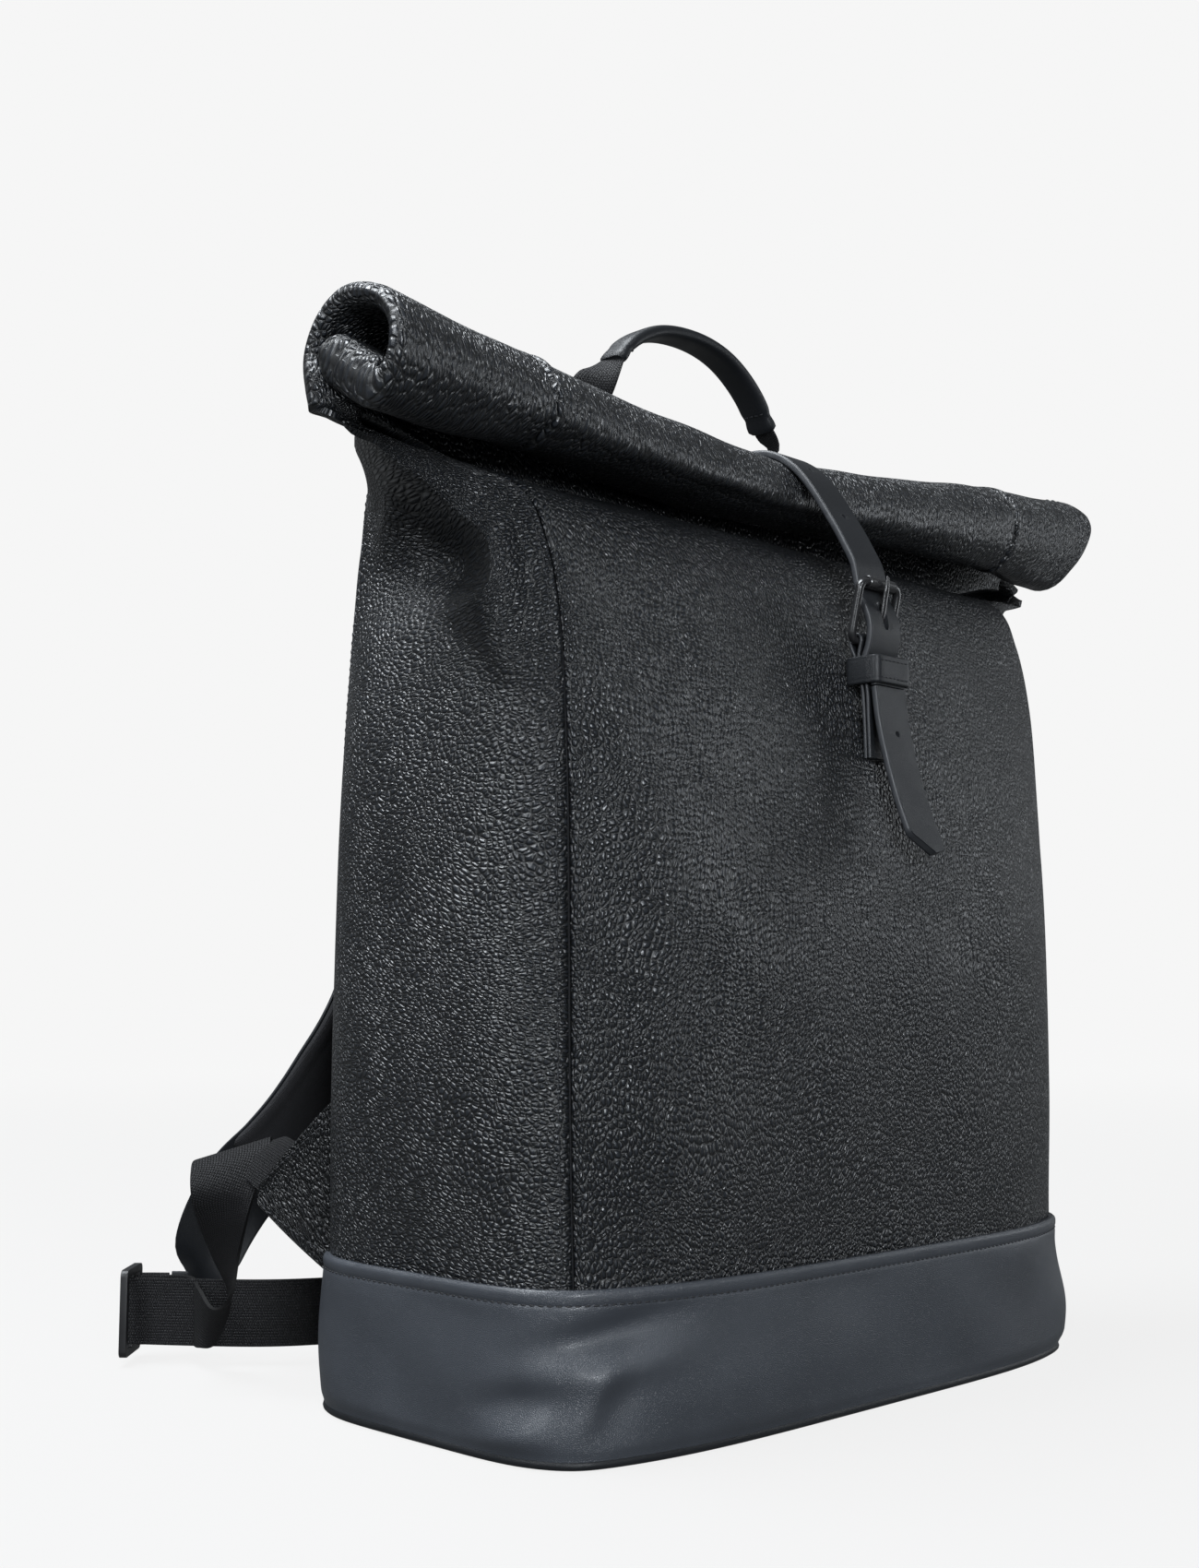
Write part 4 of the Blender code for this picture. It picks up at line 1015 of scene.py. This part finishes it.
def make_closure():
    leather = [LOOKS["strap"], LOOKS["edge"]]
    line = spread(strap_line(), 150)
    section, cut_sides = strip_section(STRAP_W, STRAP_LEATHER, .00035, .00022)
    _, _, normals = frames(line, (-1, 0, 0))
    strap = sweep("closure_strap_leather", line, (-1, 0, 0), section, leather,
                  seg_looks=cut_sides)
    slot_start, slot_end = buckle_point(.0035, .0044), buckle_point(.0235, .0042)
    cut_out(strap, sweep("prong_slot", [slot_start + (slot_start - slot_end) * .1, slot_end],
                         (1, 0, 0), oval(.0042, .0068, 16), LOOKS["edge"]))
    punch(strap, line, (0, -.0740, .3655))
    punch(strap, line, (0, -.0560, .3895))
    declare(strap, "bag", "smooth_leather", "closure_strap")
    edge_stitches("closure_strap_stitches", line[6:-2], normals[6:-2], "bag")

    # Free tail with a slanted tip.
    tail_line = spread(TAIL, 48)
    run = distances(tail_line)
    sections = []
    for gap in run[-1] - run:
        shaped = section.copy()
        tip = rounding(gap, .0016, .12)
        clip = STRAP_W * (.5 - .62 * (1 - min(gap / .0085, 1)))
        shaped[:, 0] = np.minimum(shaped[:, 0] * tip, clip * (.94 + .06 * tip))
        sections.append(shaped)
    tail = sweep("closure_strap_tail", tail_line, (-1, 0, 0), np.array(sections), leather,
                 seg_looks=cut_sides)
    punch(tail, tail_line, tail_line[13])
    declare(tail, "tail", "smooth_leather", "strap_tail")
    _, _, normals = frames(tail_line, (-1, 0, 0))
    edge_stitches("closure_tail_stitches", tail_line[1:-6], normals[1:-6], "tail")

    # Chape: a doubled strip round the heel bar, sewn to the front panel below it.
    wrap = BAR_R + .0003 + CHAPE_LEATHER / 2
    front_leg = [(0, -.0929, .2600), (0, -.0925, .2750), (0, -.0918, .2900),
                 buckle_point(-.0060, wrap)]
    turn = [buckle_point(wrap * math.sin(a), wrap * math.cos(a))
            for a in np.linspace(-.2, math.pi + .2, 13)]
    back_leg = [(0, -.0868, .3010), (0, -.0895, .2900), (0, -.0905, .2750),
                (0, -.0909, .2600)]
    section, cut_sides = strip_section(STRAP_W - .0005, CHAPE_LEATHER, .0001, .0001)
    chape = sweep("strap_chape_leather", spread(front_leg + turn + back_leg, 110), (-1, 0, 0),
                  section, leather, seg_looks=cut_sides)
    cut_out(chape, sweep("chape_slot", [buckle_point(-.0045, .001), buckle_point(.009, .001)],
                         (1, 0, 0), oval(.0052, .0120, 16), LOOKS["edge"]))
    declare(chape, "bag", "smooth_leather", "strap_chape")

    # Keeper: a loop round the chape and the strap, with two sewn lines.
    half_w, middle, depth = STRAP_W / 2 + .0012, np.array([0, -.0908, .2965]), .0079
    ring = rounded_loop([(-half_w, -depth), (half_w, -depth), (half_w, depth), (-half_w, depth)],
                        .0022, 6, .0024)
    centres = np.array([middle + (x, y, 0) for x, y in ring])
    section, cut_sides = strip_section(.0115, .0013, .0002, .0001)
    keeper = sweep("strap_keeper_leather", centres, (0, 0, 1), section, leather, closed=True,
                   seg_looks=cut_sides)
    declare(keeper, "bag", "smooth_leather", "strap_keeper")
    for label, up in (("a", .0036), ("b", -.0036)):
        xs = np.linspace(-half_w + .0016, half_w - .0016, 12)
        row = np.array([middle + (x, -depth - .00075, up) for x in xs])
        stitch_row("keeper_stitches_" + label, row, (0, -1, 0), "bag", "smooth_leather",
                   pitch=.0027, length=.0020, radius=.00028)
    make_buckle()


def rounded_loop(corners, radius, steps, spacing=None):
    """A closed outline with rounded corners, and extra points along its straights."""
    corners = np.asarray(corners, float)
    points = []
    for i, corner in enumerate(corners):
        before = unit(corners[i - 1] - corner)
        after = unit(corners[(i + 1) % len(corners)] - corner)
        centre = corner + (before + after) * radius
        for k in range(steps + 1):
            a = k / steps * math.pi / 2
            points.append(centre - after * radius * math.cos(a) - before * radius * math.sin(a))
    if spacing:
        filled = []
        for a, b in zip(points, points[1:] + points[:1]):
            extra = max(1, int(np.linalg.norm(b - a) / spacing))
            filled += [a + (b - a) * k / extra for k in range(extra)]
        points = filled
    return np.array(points)


def make_buckle():
    metal = LOOKS["metal"]
    length = float(np.linalg.norm(ROLLER - HEEL))
    loop = rounded_loop([(-FRAME_HALF, 0), (FRAME_HALF, 0), (FRAME_HALF, length),
                         (-FRAME_HALF, length)], .0034, 8, .002)
    centres = np.array([buckle_point(a, 0, x) for x, a in loop])
    facing = unit(np.cross(ROLLER - HEEL, (1, 0, 0)))
    made = sweep("buckle_wire", centres, facing, oval(BAR_R * 2.2, BAR_R * 2, 20, .85), metal,
                 closed=True)
    declare(made, "buckle", "black_metal", "buckle_frame")

    inner, half, sides, edge = BAR_R + .00016, .0088, 36, .0003
    profile = [(-half, ROLLER_R - edge), (-half + edge, ROLLER_R), (half - edge, ROLLER_R),
               (half, ROLLER_R - edge), (half, inner), (-half, inner)]
    points = [ROLLER + np.array([x, r * math.cos(a), r * math.sin(a)])
              for a in round_angles(sides) for x, r in profile]
    size = len(profile)
    faces = [tuple(i % (sides * size) for i in face)
             for face in grid_faces(sides + 1, size, wrap=True)]
    declare(add_mesh("buckle_roller_tube", points, faces, metal), "roller", "black_metal",
            "buckle_roller")

    wrap = BAR_R + .00015 + .0009
    ring = [buckle_point(wrap * math.sin(a), wrap * math.cos(a))
            for a in np.linspace(0.35, 2 * math.pi - .55, 20)]
    tip = [buckle_point(.0287, ROLLER_R + .0008), buckle_point(.0245, ROLLER_R + .0013),
           buckle_point(.0200, .0040), buckle_point(.0120, .0042), buckle_point(.0050, .0034)]
    line = spread(tip + ring, 76)
    run = distances(line)
    taper = (.55 + .45 * ease(run, 0, .007)) * rounding(run, .0012, .15)
    sections = oval(.0028, .0018, 16, .8)[None] * taper[:, None, None]
    declare(sweep("buckle_prong_hook", line, (1, 0, 0), sections, metal), "prong",
            "black_metal", "buckle_prong")


# ---- yoke and handle --------------------------------------------------------------------
YOKE_OUT = .0026  # how far the yoke's face stands off the back panel's
ARCH = ((-.0450, .0200, .4470), (-.0385, .0195, .4550), (-.0245, .0187, .4640),
        (0, .0180, .4685), (.0290, .0185, .4640), (.0490, .0195, .4515),
        (.0610, .0205, .4375))  # middle line of the grip, from the left end to the right
GRIP_WIDTH, GRIP_THICK = .016, .0062


def make_yoke():
    us = np.linspace(2.24, 2.76, 60)
    ts = np.linspace(t_at("z_back", 0.318), t_at("z_back", 0.366), 24)
    uu, tt = np.meshgrid(us, ts)
    grain = grain_of(body_offset(uu, tt, -YOKE_OUT))
    border = border_of(grain)
    drop = .0007 * np.clip(1 - border / .0012, 0, 1) ** 2 + .0003 * hump(border, .004, .0008)
    yoke = sheet_solid("back_yoke_leather", body_offset(uu, tt, -YOKE_OUT + drop),
                       body_offset(uu, tt, -.0004), LOOKS["pebbled"], grain)
    declare(yoke, "bag", "pebbled_leather", "back_yoke")
    inset = .010  # in both body coordinates
    low, high = np.array([us[0], ts[0]]) + inset, np.array([us[-1], ts[-1]]) - inset
    corners = [low, (high[0], low[1]), high, (low[0], high[1]), low]
    path = np.concatenate([np.linspace(a, b, 30)[:-1] for a, b in zip(corners, corners[1:])])
    stitch_row("back_yoke_stitches", body_offset(*path.T, -YOKE_OUT), outward_of(*path.T),
               "bag", "pebbled_leather")


def make_handle():
    line = spread(ARCH, 90)
    base = oval(GRIP_WIDTH, GRIP_THICK, 40, .55)
    under = base[:, 1] > 0
    run = distances(line)
    gap = np.minimum(run, run[-1] - run)
    sections = []
    for g in gap:
        shaped = base.copy()
        shaped[under, 1] -= .0011 * hump(shaped[under, 0], 0, .0011)
        shaped *= .80 + .20 * rounding(g, .0022)
        shaped *= 1 - .10 * hump(g, .0075, .0024)
        sections.append(shaped)
    grip = sweep("handle_grip_leather", line, (0, 1, 0), np.array(sections), LOOKS["strap"])
    declare(grip, "handle", "smooth_leather", "handle_grip")
    _, across, normals = frames(line, (0, 1, 0))
    for label, at in (("left", 7), ("right", len(line) - 8)):
        ys = np.linspace(-.0062, .0062, 10)
        row = np.array([line[at] + across[at] * y
                        - normals[at] * GRIP_THICK / 2 * (1 - (y / .0085) ** 4) for y in ys])
        stitch_row("handle_end_stitches_" + label, row, -normals[at], "handle",
                   "smooth_leather", pitch=.0030, length=.0023)

    for side, name, top, inward in ((-1, "left", ARCH[0], ARCH[1]),
                                    (1, "right", ARCH[-1], ARCH[-2])):
        top = np.array(top)
        outward = unit(top - inward)
        count = 44
        foot = np.array([side * .062, .0643, .3717])
        knee = np.array([(foot[0] + top[0]) / 2 - .003, .0420, .4140])
        path = spread([foot, foot + (0, -.0036, .0148), knee,
                       top + outward * .0100, top - outward * .0040], count)
        at = np.linspace(0, 1, count)
        acrosses = smooth((0, .4, .8, 1), [(1, 0, 0), (.9, .35 * side, 0), (.65, .75 * side, 0),
                                           (.1, side, 0)], at)
        width = smooth((0, .6, .84, 1), (.0200, .0200, .0180, .0120), at)
        section = oval(1.0, .0018, 24, .35)
        sections = section[None] * np.stack([width, np.ones(count)], 1)[:, None]
        web = sweep(f"handle_webbing_{name}_woven", path, acrosses, sections, LOOKS["webbing"])
        declare(web, "handle", "webbing", f"handle_webbing_{name}")


# ---- shoulder straps ----------------------------------------------------------------------
LOCK = np.array([-.1660, .2050, .0228])  # middle of the left ladder lock
LOCK_OUT = unit(np.array([-.708, .706, 0]))
LOCK_ALONG = unit(np.array([.706, .708, 0]))
BAR_PITCH = .0115  # from one bar of the lock to the next
LOCK_BAR = .0020  # half the width of a bar
LOCK_HALF = .0016  # half the lock's thickness


def lock_point(along, out, up=0.0):
    return LOCK + LOCK_ALONG * along + LOCK_OUT * out + np.array([0, 0, up])


def mirrored(points, side):
    """Left-hand points as they are, right-hand points with X reversed."""
    points = np.array(points, float)
    points[..., 0] *= side
    return points


def strap_path():
    """Middle line of the left shoulder strap and its outer edge direction at each point."""
    end = lock_point(BAR_PITCH, -.0145)
    points = [(-.047, .0775, .3480), (-.052, .0880, .3330), (-.064, .0965, .2960),
              (-.081, .0995, .2450), (-.096, .1010, .1950), (-.106, .1070, .1600),
              (-.113, .1250, .1300), (-.121, .1520, .0980), (-.132, .1760, .0720),
              (-.139, .1870, .0470), end - LOCK_OUT * .012, end]
    edges = [(-1, 0, 0), (-1, 0, -.15), (-1, .05, -.2), (-1, .05, -.25), (-1, .1, -.25),
             (-1, .2, -.2), (-1, .3, -.1), (-.9, .5, 0), (-.7, .6, .5), (-.3, .4, .9), (0, 0, 1),
             (0, 0, 1)]
    return np.array(points), np.array(edges, float)


def reflected(made, side):
    """Turns a left-hand piece into its right-hand twin."""
    if side < 0:
        for vertex in made.data.vertices:
            vertex.co.x = -vertex.co.x
        made.data.flip_normals()
    return made


def make_shoulder_strap(side, label):
    body = f"{label}_strap"
    points, edges = strap_path()
    count = 130
    line = spread(points, count)
    known = distances(points)
    at = np.linspace(0, 1, count)
    across = unit(smooth(known / known[-1], edges, at))
    widths = np.interp(at, [0, .12, .6, 1], [.034, SHOULDER_W, .044, WEB_W])
    _, flat, normals = frames(line, across)

    sections = []
    for w in widths:
        ring, cut_sides = strip_section(w, .0018, .0002, .00018)
        ring[:, 1] += .0014
        sections.append(ring)
    strap = sweep(f"{label}_shoulder_strap_leather", line, across, np.array(sections),
                  [LOOKS["strap"], LOOKS["edge"]], seg_looks=cut_sides)
    declare(reflected(strap, side), body, "smooth_leather", f"{label}_shoulder_strap")
    for key, way in (("a", -1), ("b", 1)):
        row = line + flat * (widths / 2 - .0032)[:, None] * way + normals * .0024
        row, out = mirrored(row[4:-10], side), mirrored(normals[4:-10], side)
        stitch_row(f"{label}_shoulder_strap_stitches_{key}", row, out, body, "smooth_leather")

    padded = slice(6, count - 29)
    make_padding(side, label, line[padded], across[padded], widths[padded])
    make_lock(side, label)
    make_webbing(side, label)
    make_tab(side, label)


def make_padding(side, label, line, across, widths):
    """The padding under a shoulder strap, thinner towards its ends and with a seam line."""
    run = distances(line)
    gap = np.minimum(run, run[-1] - run)
    angles = round_angles(44)
    c, s = np.cos(angles), np.sin(angles)
    sections = []
    for w, g in zip(widths, gap):
        tip = rounding(g, .010, .03)
        pad = np.stack([(w / 2 - .0006) * np.sign(c) * np.abs(c) ** .42 * (.86 + .14 * tip),
                        np.where(s < 0, -.0047 * np.abs(s) ** .55 * tip, .00035 * s) - .0001],
                       axis=1)
        pad[:, 1] += .0006 * hump(np.abs(pad[:, 0]), w / 2 - .0060, .0012) * (s < 0) * tip
        sections.append(pad)
    padding = sweep(f"{label}_strap_padding_cover", line, across, np.array(sections),
                    LOOKS["cover"], sharp=0)
    declare(reflected(padding, side), f"{label}_strap", "foam", f"{label}_strap_padding")


def over_bar(middle, ends):
    """The way of a strip over one bar of the lock, from behind it and back."""
    clear = WEB / 2 + .0008
    reach, top = LOCK_BAR + clear, LOCK_HALF + clear + .0002
    bend = [(reach, ends), (reach, -.0010), (reach * .8, top * .72), (0, top),
            (-reach * .8, top * .72), (-reach, -.0010), (-reach, ends)]
    return [lock_point(middle + a, out) for a, out in bend]


def both_edges(line):
    """The two edges of upright webbing along a line, as rows of six numbers."""
    half = np.array([0, 0, WEB_W / 2 - .0005])
    return np.hstack([np.asarray(line) + half, np.asarray(line) - half])


def make_webbing(side, label):
    """The loop that holds the lock, and the adjusting webbing with its free tail."""
    body = f"{label}_strap"
    loop = sweep(f"{label}_lock_loop_woven", spread(over_bar(BAR_PITCH, -.0135), 50),
                 (0, 0, 1), oval(WEB_W - .002, WEB, 24, .2), LOOKS["webbing"])
    declare(reflected(loop, side), body, "webbing", f"{label}_lock_loop")

    # Both edges of the webbing: up behind the tab, folded over, down with a twist to the lock.
    route = [((-.1580, .0905, .1025), (-.1630, .1095, .0820)),
             ((-.1534, .1050, .1036), (-.1653, .1250, .0893)),
             ((-.1470, .1250, .1010), (-.1675, .1470, .0925)),
             ((-.1505, .1210, .1025), (-.1745, .1430, .0925)),
             ((-.1552, .1150, .0990), (-.1800, .1365, .0880)),
             ((-.1612, .1150, .0840), (-.1810, .1340, .0784)),
             ((-.1636, .1160, .0758), (-.1728, .1420, .0686)),
             ((-.1623, .1260, .0550), (-.1580, .1520, .0508)),
             ((-.1637, .1300, .0360), (-.1477, .1540, .0314)),
             ((-.1620, .1450, .0300), (-.1500, .1600, .0130)),
             ((-.1540, .1690, .0350), (-.1520, .1700, .0090))]
    tail = [(-.1220, .1500, .0228), (-.0920, .1350, .0228), (-.0550, .1250, .0228),
            (-.0200, .1230, .0228)]
    bend = over_bar(0, -.0080)
    edges = [a + b for a, b in route]
    edges += list(both_edges([lock_point(.0034, -.0240), bend[0]]))
    down = spread(edges, 110)
    away = spread([bend[-1], lock_point(-.0062, -.0260)] + tail, 50)
    edges = np.concatenate([down[:-1], both_edges(spread(bend, 26)), both_edges(away[1:])])
    web = ribbon(f"{label}_adjusting_webbing_woven", edges, WEB, LOOKS["webbing"])
    declare(reflected(web, side), body, "webbing", f"{label}_adjusting_webbing")


def make_lock(side, label):
    """Ladder lock: a frame of three bars with softened edges."""
    half_w, bar = LOCK_W / 2, LOCK_BAR
    outline = [(-BAR_PITCH - bar, -half_w), (BAR_PITCH + bar, -half_w),
               (BAR_PITCH + bar, half_w), (-BAR_PITCH - bar, half_w)]
    faces = [(3, 2, 1, 0), (4, 5, 6, 7)] + [(k, (k + 1) % 4, 4 + (k + 1) % 4, 4 + k)
                                            for k in range(4)]
    ring = rounded_loop(outline, .0030, 5)
    count = len(ring)
    corners = [lock_point(a, out, up) for out in (-LOCK_HALF, LOCK_HALF) for a, up in ring]
    ring_faces = [tuple(range(count)), tuple(range(2 * count - 1, count - 1, -1))]
    ring_faces += [(k, (k + 1) % count, count + (k + 1) % count, count + k) for k in range(count)]
    lock = add_mesh(f"{label}_ladder_lock_frame", corners, ring_faces, LOOKS["plastic"])
    for number, middle in enumerate((-BAR_PITCH / 2, BAR_PITCH / 2)):
        reach, wide = BAR_PITCH / 2 - bar, WEB_W / 2 + .0008
        corners = [lock_point(middle + a, out, up) for out in (-.005, .005)
                   for a, up in ((-reach, -wide), (reach, -wide), (reach, wide), (-reach, wide))]
        cut_out(lock, add_mesh(f"lock_window_{number}", corners, faces, LOOKS["plastic"]))
    soften(lock, .0006)
    declare(reflected(lock, side), f"{label}_strap", "black_plastic", f"{label}_ladder_lock")


def make_tab(side, label):
    """Side tab: leather sewn to the back edge of the bag, holding the webbing."""
    corners = np.array([(-.1560, .0650, .1240), (-.1662, .1055, .0850),
                        (-.1560, .0650, .0500), (-.1664, .1060, .0775)])
    rows, columns = 40, 34
    a, b = np.meshgrid(np.linspace(0, 1, columns), np.linspace(0, 1, rows))
    a, b = a[..., None], b[..., None]
    sheet = ((1 - a) * ((1 - b) * corners[2] + b * corners[0])
             + a * ((1 - b) * corners[3] + b * corners[1]))
    sheet[..., 0] -= .0012 * np.sin(a[..., 0] * math.pi)
    grain = grain_of(sheet)
    border = border_of(grain)
    thick = .0014 - .0004 * np.clip(1 - border / .0010, 0, 1) ** 2
    thick -= .0003 * hump(border, .0036, .0007)
    shift = np.stack([thick, np.zeros_like(thick), np.zeros_like(thick)], -1)
    tab = sheet_solid(f"{label}_side_tab_leather", sheet - shift, sheet + shift,
                      [LOOKS["pebbled_coarse"], LOOKS["cut_edge"]], grain)
    flat_faces = 2 * (rows - 1) * (columns - 1)
    for face in list(tab.data.polygons)[flat_faces:]:
        face.material_index = 1  # the cut edge
    declare(reflected(tab, side), "bag", "pebbled_leather", f"{label}_side_tab")
    for key, row in (("top", sheet[-5, 2:-2]), ("low", sheet[4, 2:-2])):
        line = mirrored(row - (.0013, 0, 0), side)
        stitch_row(f"{label}_side_tab_stitches_{key}", line, (-side, 0, 0), "bag",
                   "pebbled_leather")


# ---- stage, light and camera -----------------------------------------------------------
FLOOR_NEAR, FLOOR_FAR = .84, .915  # glow of the floor, near the bag and far from it
BACKDROP = .921  # brightness of the backdrop above the floor
LIGHT_COLOUR = (.91, .955, 1.0)
LIGHTS = (  # name, place, what it points at, size, power in watts
    ("overhead", (-.50, .40, 1.70), (0, -.02, .25), (.9, .9), 50),
    ("left", (-1.80, .05, 1.00), (0, 0, .20), (.6, 1.1), 20),
    ("front_right", (1.85, -.75, .60), (0, 0, .20), (.6, 1.1), 8),
    ("front_key", (-.55, -1.60, 1.05), (-.15, 0, .25), (.5, .4), 8),
    ("low_front", (-1.05, -1.50, .50), (-.18, 0, .30), (.4, .4), 25),
)


def area(name, place, target, size, power):
    light = bpy.data.lights.new(name, "AREA")
    light.shape = "RECTANGLE"
    light.size, light.size_y = size
    light.energy = power
    light.color = LIGHT_COLOUR
    made = bpy.data.objects.new(name, light)
    made.location = place
    made.rotation_euler = (Vector(target) - Vector(place)).to_track_quat("-Z", "Y").to_euler()
    scene.collection.objects.link(made)


def make_stage():
    look = Look("studio_floor")
    look.finish((.040, .040, .040), .9, specular=0.0)
    place = look.node("ShaderNodeTexCoord").outputs["Object"]
    reach = look.node("ShaderNodeVectorMath", {0: place}, operation="LENGTH").outputs["Value"]
    glow = look.ramp(reach, .2, 3.2, FLOOR_NEAR, FLOOR_FAR)
    look.feed(look.shader.inputs["Emission Strength"], glow)
    look.shader.inputs["Emission Color"].default_value = (1, 1, 1, 1)
    mesh = bpy.data.meshes.new("studio_floor")
    work = bmesh.new()
    bmesh.ops.create_circle(work, cap_ends=True, segments=96, radius=14.0)
    work.to_mesh(mesh)
    work.free()
    mesh.materials.append(look.material)
    floor = bpy.data.objects.new("studio_floor", mesh)
    scene.collection.objects.link(floor)
    floor.visible_diffuse = False
    floor.visible_glossy = False

    world = bpy.data.worlds.new("studio_world")
    scene.world = world
    world.use_nodes = True
    tree = world.node_tree
    tree.nodes.clear()
    output = tree.nodes.new("ShaderNodeOutputWorld")
    mix = tree.nodes.new("ShaderNodeMixShader")
    path = tree.nodes.new("ShaderNodeLightPath")
    lit, seen = tree.nodes.new("ShaderNodeBackground"), tree.nodes.new("ShaderNodeBackground")
    lit.inputs["Color"].default_value = (.93, .97, 1.0, 1)
    lit.inputs["Strength"].default_value = .17
    seen.inputs["Color"].default_value = (BACKDROP, BACKDROP, BACKDROP, 1)
    tree.links.new(path.outputs["Is Camera Ray"], mix.inputs[0])
    tree.links.new(lit.outputs[0], mix.inputs[1])
    tree.links.new(seen.outputs[0], mix.inputs[2])
    tree.links.new(mix.outputs[0], output.inputs[0])

    for lamp in LIGHTS:
        area(*lamp)


def make_camera():
    camera = bpy.data.cameras.new("camera")
    camera.sensor_fit = "HORIZONTAL"
    camera.sensor_width = 36.0
    camera.lens = 54.83
    camera.clip_start = .05
    made = bpy.data.objects.new("camera", camera)
    made.location = (-.611, -.540, .166)
    made.rotation_euler = (math.radians(96.4), 0, math.radians(-44.9))
    scene.collection.objects.link(made)
    scene.camera = made


def dress_carried_nodes():
    """Gives the hidden CAD parts that stay their finish."""
    for node, look in (("base_board", "board"), ("bottom_panel", "strap")):
        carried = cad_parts[node]
        for slot in carried.material_slots:
            slot.material = LOOKS[look]


def main():
    scene.view_settings.view_transform = "Standard"
    make_camera()
    make_body()
    make_band()
    make_roll()
    make_closure()
    make_yoke()
    make_handle()
    make_shoulder_strap(1, "left")
    make_shoulder_strap(-1, "right")
    dress_carried_nodes()
    make_stage()


main()
